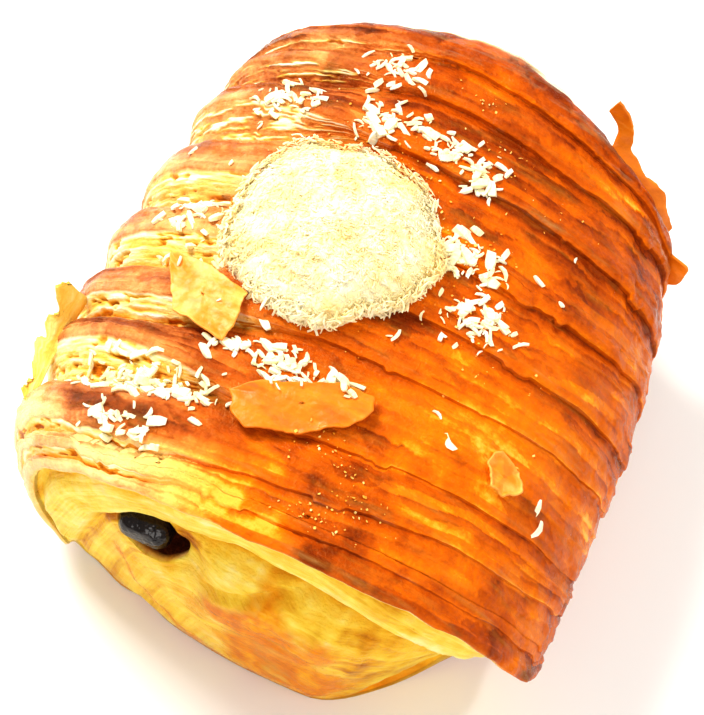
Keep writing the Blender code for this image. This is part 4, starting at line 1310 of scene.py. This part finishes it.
def surface_tree(objects):
    """Search tree over finished pieces, in millimetres before the shift."""
    verts = []
    polygons = []
    base = 0
    for obj in objects:
        mesh = obj.data
        co = np.empty(len(mesh.vertices) * 3)
        mesh.vertices.foreach_get("co", co)
        co = co.reshape(-1, 3) / MM - SHIFT
        loops = np.empty(len(mesh.loops), dtype=np.int64)
        mesh.loops.foreach_get("vertex_index", loops)
        starts = np.empty(len(mesh.polygons), dtype=np.int64)
        mesh.polygons.foreach_get("loop_start", starts)
        totals = np.empty(len(mesh.polygons), dtype=np.int64)
        mesh.polygons.foreach_get("loop_total", totals)
        top = np.array([co[loops[s]][2] for s in starts])
        for s, n, z in zip(starts, totals, top):
            if z > 24.0:
                polygons.append(tuple(int(v) + base for v in loops[s:s + n]))
        verts.extend(map(tuple, co.tolist()))
        base += len(co)
    return BVHTree.FromPolygons(verts, polygons)


def ground(tree, x, y):
    """Point of the surface under x, y and the way it faces."""
    hit, normal = tree.ray_cast(Vector((x, y, 120.0)), Vector((0.0, 0.0, -1.0)))[:2]
    if hit is None:
        return None, None
    if normal.z < 0.0:
        normal = -normal
    return hit, normal


def mound_edge(angle):
    """Radius of the mound, uneven round its edge."""
    lobes = 0.035 * np.sin(3.0 * angle + 0.8) + 0.03 * np.sin(5.0 * angle + 2.1) + 0.02 * np.sin(9.0 * angle)
    return MOUND_RADIUS * (1.0 + lobes)


def mound_top(share):
    """Height of the mound, from 1 at its middle to 0 at its edge."""
    return (1.0 - share ** 2.4) ** 0.62


def matting(x, y, share):
    """Clumps and fibres on the mound, lower towards its edge."""
    clumps = 0.55 * rough(x, y, 0.0, 5.5, 34, 3)
    fibres = 0.42 * np.abs(rough(x, y, 3.0, 1.7, 35, 3)) + 0.25 * rough(x, y, 9.0, 0.8, 37, 2)
    return (clumps + fibres) * (1.0 - 0.65 * float(smooth(0.75, 1.0, share)))


def build_mound():
    """Matted core of the mound, rough all over and jagged at its edge."""
    around = 300
    angle = 2.0 * math.pi * np.arange(around) / around
    shares = np.concatenate([np.linspace(0.01, 0.9, 80), np.linspace(0.91, 0.999, 24)])
    rings = []
    for share in shares:
        jag = rough(angle * MOUND_RADIUS, 0.0, 0.0, 1.6, 31, 3)
        jag = 1.0 + 0.022 * smooth(0.6, 1.0, share) * jag
        radius = mound_edge(angle) * share * jag
        x = MOUND_X + radius * np.cos(angle)
        y = MOUND_Y + radius * np.sin(angle)
        top = MOUND_HEIGHT * mound_top(share)
        z = plain_height(x, y) + top + matting(x, y, share)
        rings.append(np.stack([x, y, z], axis=-1))
    outer = rings[-1].copy()
    outer[:, 2] = plain_height(outer[:, 0], outer[:, 1]) - 3.5
    rings.append(outer)
    inner = outer.copy()
    inner[:, 0] = MOUND_X + (outer[:, 0] - MOUND_X) * 0.02
    inner[:, 1] = MOUND_Y + (outer[:, 1] - MOUND_Y) * 0.02
    rings.append(inner)
    faces = ring_faces(len(rings), around)
    faces.append(tuple(range(around)))
    faces.append(tuple((len(rings) - 1) * around + j for j in range(around)))
    return face_outwards(add_mesh("mound_core", np.concatenate(rings), faces), True)


def mound_points(rng):
    """Places of the mound's shreds, a third of them near its edge, where they lean outwards."""
    points, facings, sizes = [], [], []
    for i in range(MOUND_SHREDS):
        share = math.sqrt(rng.uniform(0.0, 1.0))
        if i % 3 == 0:
            share = rng.uniform(0.9, 1.04)
        angle = rng.uniform(0.0, 2.0 * math.pi)
        radius = float(mound_edge(angle)) * share
        x = MOUND_X + radius * math.cos(angle)
        y = MOUND_Y + radius * math.sin(angle)
        top = mound_top(share) if share < 0.98 else rng.uniform(0.05, 0.5)
        z = float(plain_height(x, y)) + MOUND_HEIGHT * top + float(matting(np.array(x), np.array(y), share))
        lean = float(smooth(0.5, 1.0, share)) * 1.3
        points.append((x, y, z))
        facings.append((math.cos(angle) * lean, math.sin(angle) * lean, 1.0))
        sizes.append(rng.uniform(0.3, 0.85) if share < 0.9 else rng.uniform(0.4, 1.1))
    return points, facings, sizes


def crust_points(tree, rng, groups):
    """Places on the top of the crust, clear of the mound, thickest in the middle of each group."""
    points, facings, sizes = [], [], []
    for cx, cy, rx, ry, number in groups:
        for i in range(number):
            x = cx + rx * float(np.clip(rng.normal(0.0, 0.5), -1.2, 1.2))
            y = cy + ry * float(np.clip(rng.normal(0.0, 0.5), -1.2, 1.2))
            if math.hypot(x - MOUND_X, y - MOUND_Y) < MOUND_RADIUS + 0.3:
                continue
            hit, normal = ground(tree, x, y)
            if hit is None or normal.z < 0.3 or hit.z < LOWEST_SHRED:
                continue
            up = (normal + Vector((0.0, 0.0, 0.6))).normalized()
            points.append(tuple(h + u * SHRED_LIFT for h, u in zip(hit, up)))
            facings.append(tuple(up))
            sizes.append(0.28 + 0.80 * rng.uniform(0.0, 1.0) ** 1.4)
    return points, facings, sizes


def build_stick():
    """Chocolate stick: a bar with rounded edges, through the length of the roll."""
    bpy.ops.mesh.primitive_cube_add(size=1.0)
    obj = bpy.context.object
    obj.name = "chocolate_stick_bar"
    middle = Vector((STICK_X, 0.5 * (STICK_NEAR + STICK_FAR), STICK_Z)) + Vector(SHIFT)
    size = Matrix.Diagonal((STICK_WIDTH * MM, (STICK_FAR - STICK_NEAR) * MM, STICK_HEIGHT * MM, 1.0))
    obj.data.transform(Matrix.Translation(middle * MM) @ size)
    edge = obj.modifiers.new("rounded_edges", "BEVEL")
    edge.width = 2.4 * MM
    edge.segments = 8
    bake_modifiers(obj)
    return obj


def build_floor():
    """Pale floor under the part, as stage."""
    bpy.ops.mesh.primitive_plane_add(size=6.0)
    floor = bpy.context.object
    floor.name = "floor"
    material, tree, shader = new_material("pale_floor")
    paint(tree, shader, (0.93, 0.93, 0.93, 1.0), 0.8, 0.5)
    floor.data.materials.append(material)


def build_camera():
    """Camera at the photograph's angle, turned about its own axis by the roll."""
    azimuth, elevation, roll = (math.radians(v) for v in CAMERA_ANGLES)
    target = Vector(CAMERA_TARGET) + Vector(SHIFT)
    level = math.cos(elevation)
    back = Vector((math.sin(azimuth) * level, -math.cos(azimuth) * level, math.sin(elevation)))
    right = Vector((math.cos(azimuth), math.sin(azimuth), 0.0))
    up = back.cross(right)
    turned_right = math.cos(roll) * right + math.sin(roll) * up
    turned_up = -math.sin(roll) * right + math.cos(roll) * up
    camera = bpy.data.objects.new("camera", bpy.data.cameras.new("camera"))
    camera.data.lens = CAMERA_LENS
    camera.data.sensor_width = 36.0
    camera.data.clip_start = 0.01
    turn = Matrix((turned_right, turned_up, back)).transposed().to_4x4()
    camera.matrix_world = Matrix.Translation((target + back * CAMERA_DISTANCE) * MM) @ turn
    bpy.context.scene.collection.objects.link(camera)
    bpy.context.scene.camera = camera


def build_light():
    """Soft studio light, with every lamp aimed at the middle of the part."""
    scene = bpy.context.scene
    world = bpy.data.worlds.new("studio")
    world.use_nodes = True
    background = world.node_tree.nodes["Background"]
    background.inputs["Color"].default_value = (1.0, 1.0, 1.0, 1.0)
    background.inputs["Strength"].default_value = SURROUND_LIGHT
    scene.world = world
    for name, place, size, power, colour in LIGHTS:
        light = bpy.data.objects.new(name, bpy.data.lights.new(name, "AREA"))
        light.data.size = size
        light.data.energy = power
        light.data.color = colour
        light.location = place
        aim = Vector((0.0, 0.0, 0.02)) - Vector(place)
        light.rotation_euler = aim.to_track_quat("-Z", "Y").to_euler()
        scene.collection.objects.link(light)
    scene.view_settings.view_transform = "Standard"
    scene.view_settings.look = "Medium High Contrast"
    scene.view_settings.exposure = 0.0


def main():
    """Make every piece, then the floor, the light and the camera."""
    rng = np.random.default_rng(23)
    crust = crust_material()
    loose = flake_material()
    white = coconut_material("grated_coconut", 0.0)
    cream = coconut_material("mound_coconut", 0.05)
    dark = chocolate_material()
    golden = crumb_glint_material()

    slices = build_roll()
    flakes = [
        build_flake("square_flake", SQUARE_FLAKE, 3, 0.35, 0.07),
        build_flake("long_flake", LONG_FLAKE, 4, 0.4, -0.10),
        build_flake("torn_flake", TORN_FLAKE, 5, 0.5, 0.06),
    ]
    sheets = [
        build_sheet("corner_fin", FIN_FOOT, FIN_EDGE, 6, -0.10),
        build_sheet("side_barb", BARB_FOOT, BARB_EDGE, 7, -0.08),
    ]
    frill = build_sheet("side_frill", FRILL_FOOT, FRILL_EDGE, 8, 0.24, 2.4, 0.3)
    for piece in slices:
        settle(piece, crust, ["pastry"])
    for piece in flakes + sheets:
        settle(piece, loose, ["pastry"])
    settle(frill, crust, ["pastry"])

    chips = shred_collection("chips", CHIP_KINDS)
    threads = shred_collection("threads", THREAD_KINDS)
    grit = shred_collection("crumbs", CRUMB_KINDS)
    tree = surface_tree(slices + flakes)
    placed = crust_points(tree, rng, SHRED_GROUPS)
    shreds = scatter("crust_shreds", placed, chips, white, SHRED_LENGTH, 0.45, 4)
    settle(shreds, white, ["pastry"])
    placed = crust_points(tree, rng, CRUMB_GROUPS)
    crumbs = scatter("glazed_crumbs", placed, grit, golden, CRUMB_LENGTH, 0.6, 12)
    settle(crumbs, golden, ["pastry"])

    settle(build_mound(), cream, ["coconut_mound"])
    matted = scatter("mound_shreds", mound_points(rng), threads, cream, THREAD_LENGTH, 0.4, 8)
    settle(matted, cream, ["coconut_mound"])

    settle(build_stick(), dark, ["chocolate_stick"])

    for shapes in (chips, threads, grit):
        for shape in list(shapes.objects):
            bpy.data.objects.remove(shape, do_unlink=True)
        bpy.data.collections.remove(shapes)

    build_floor()
    build_light()
    build_camera()


main()
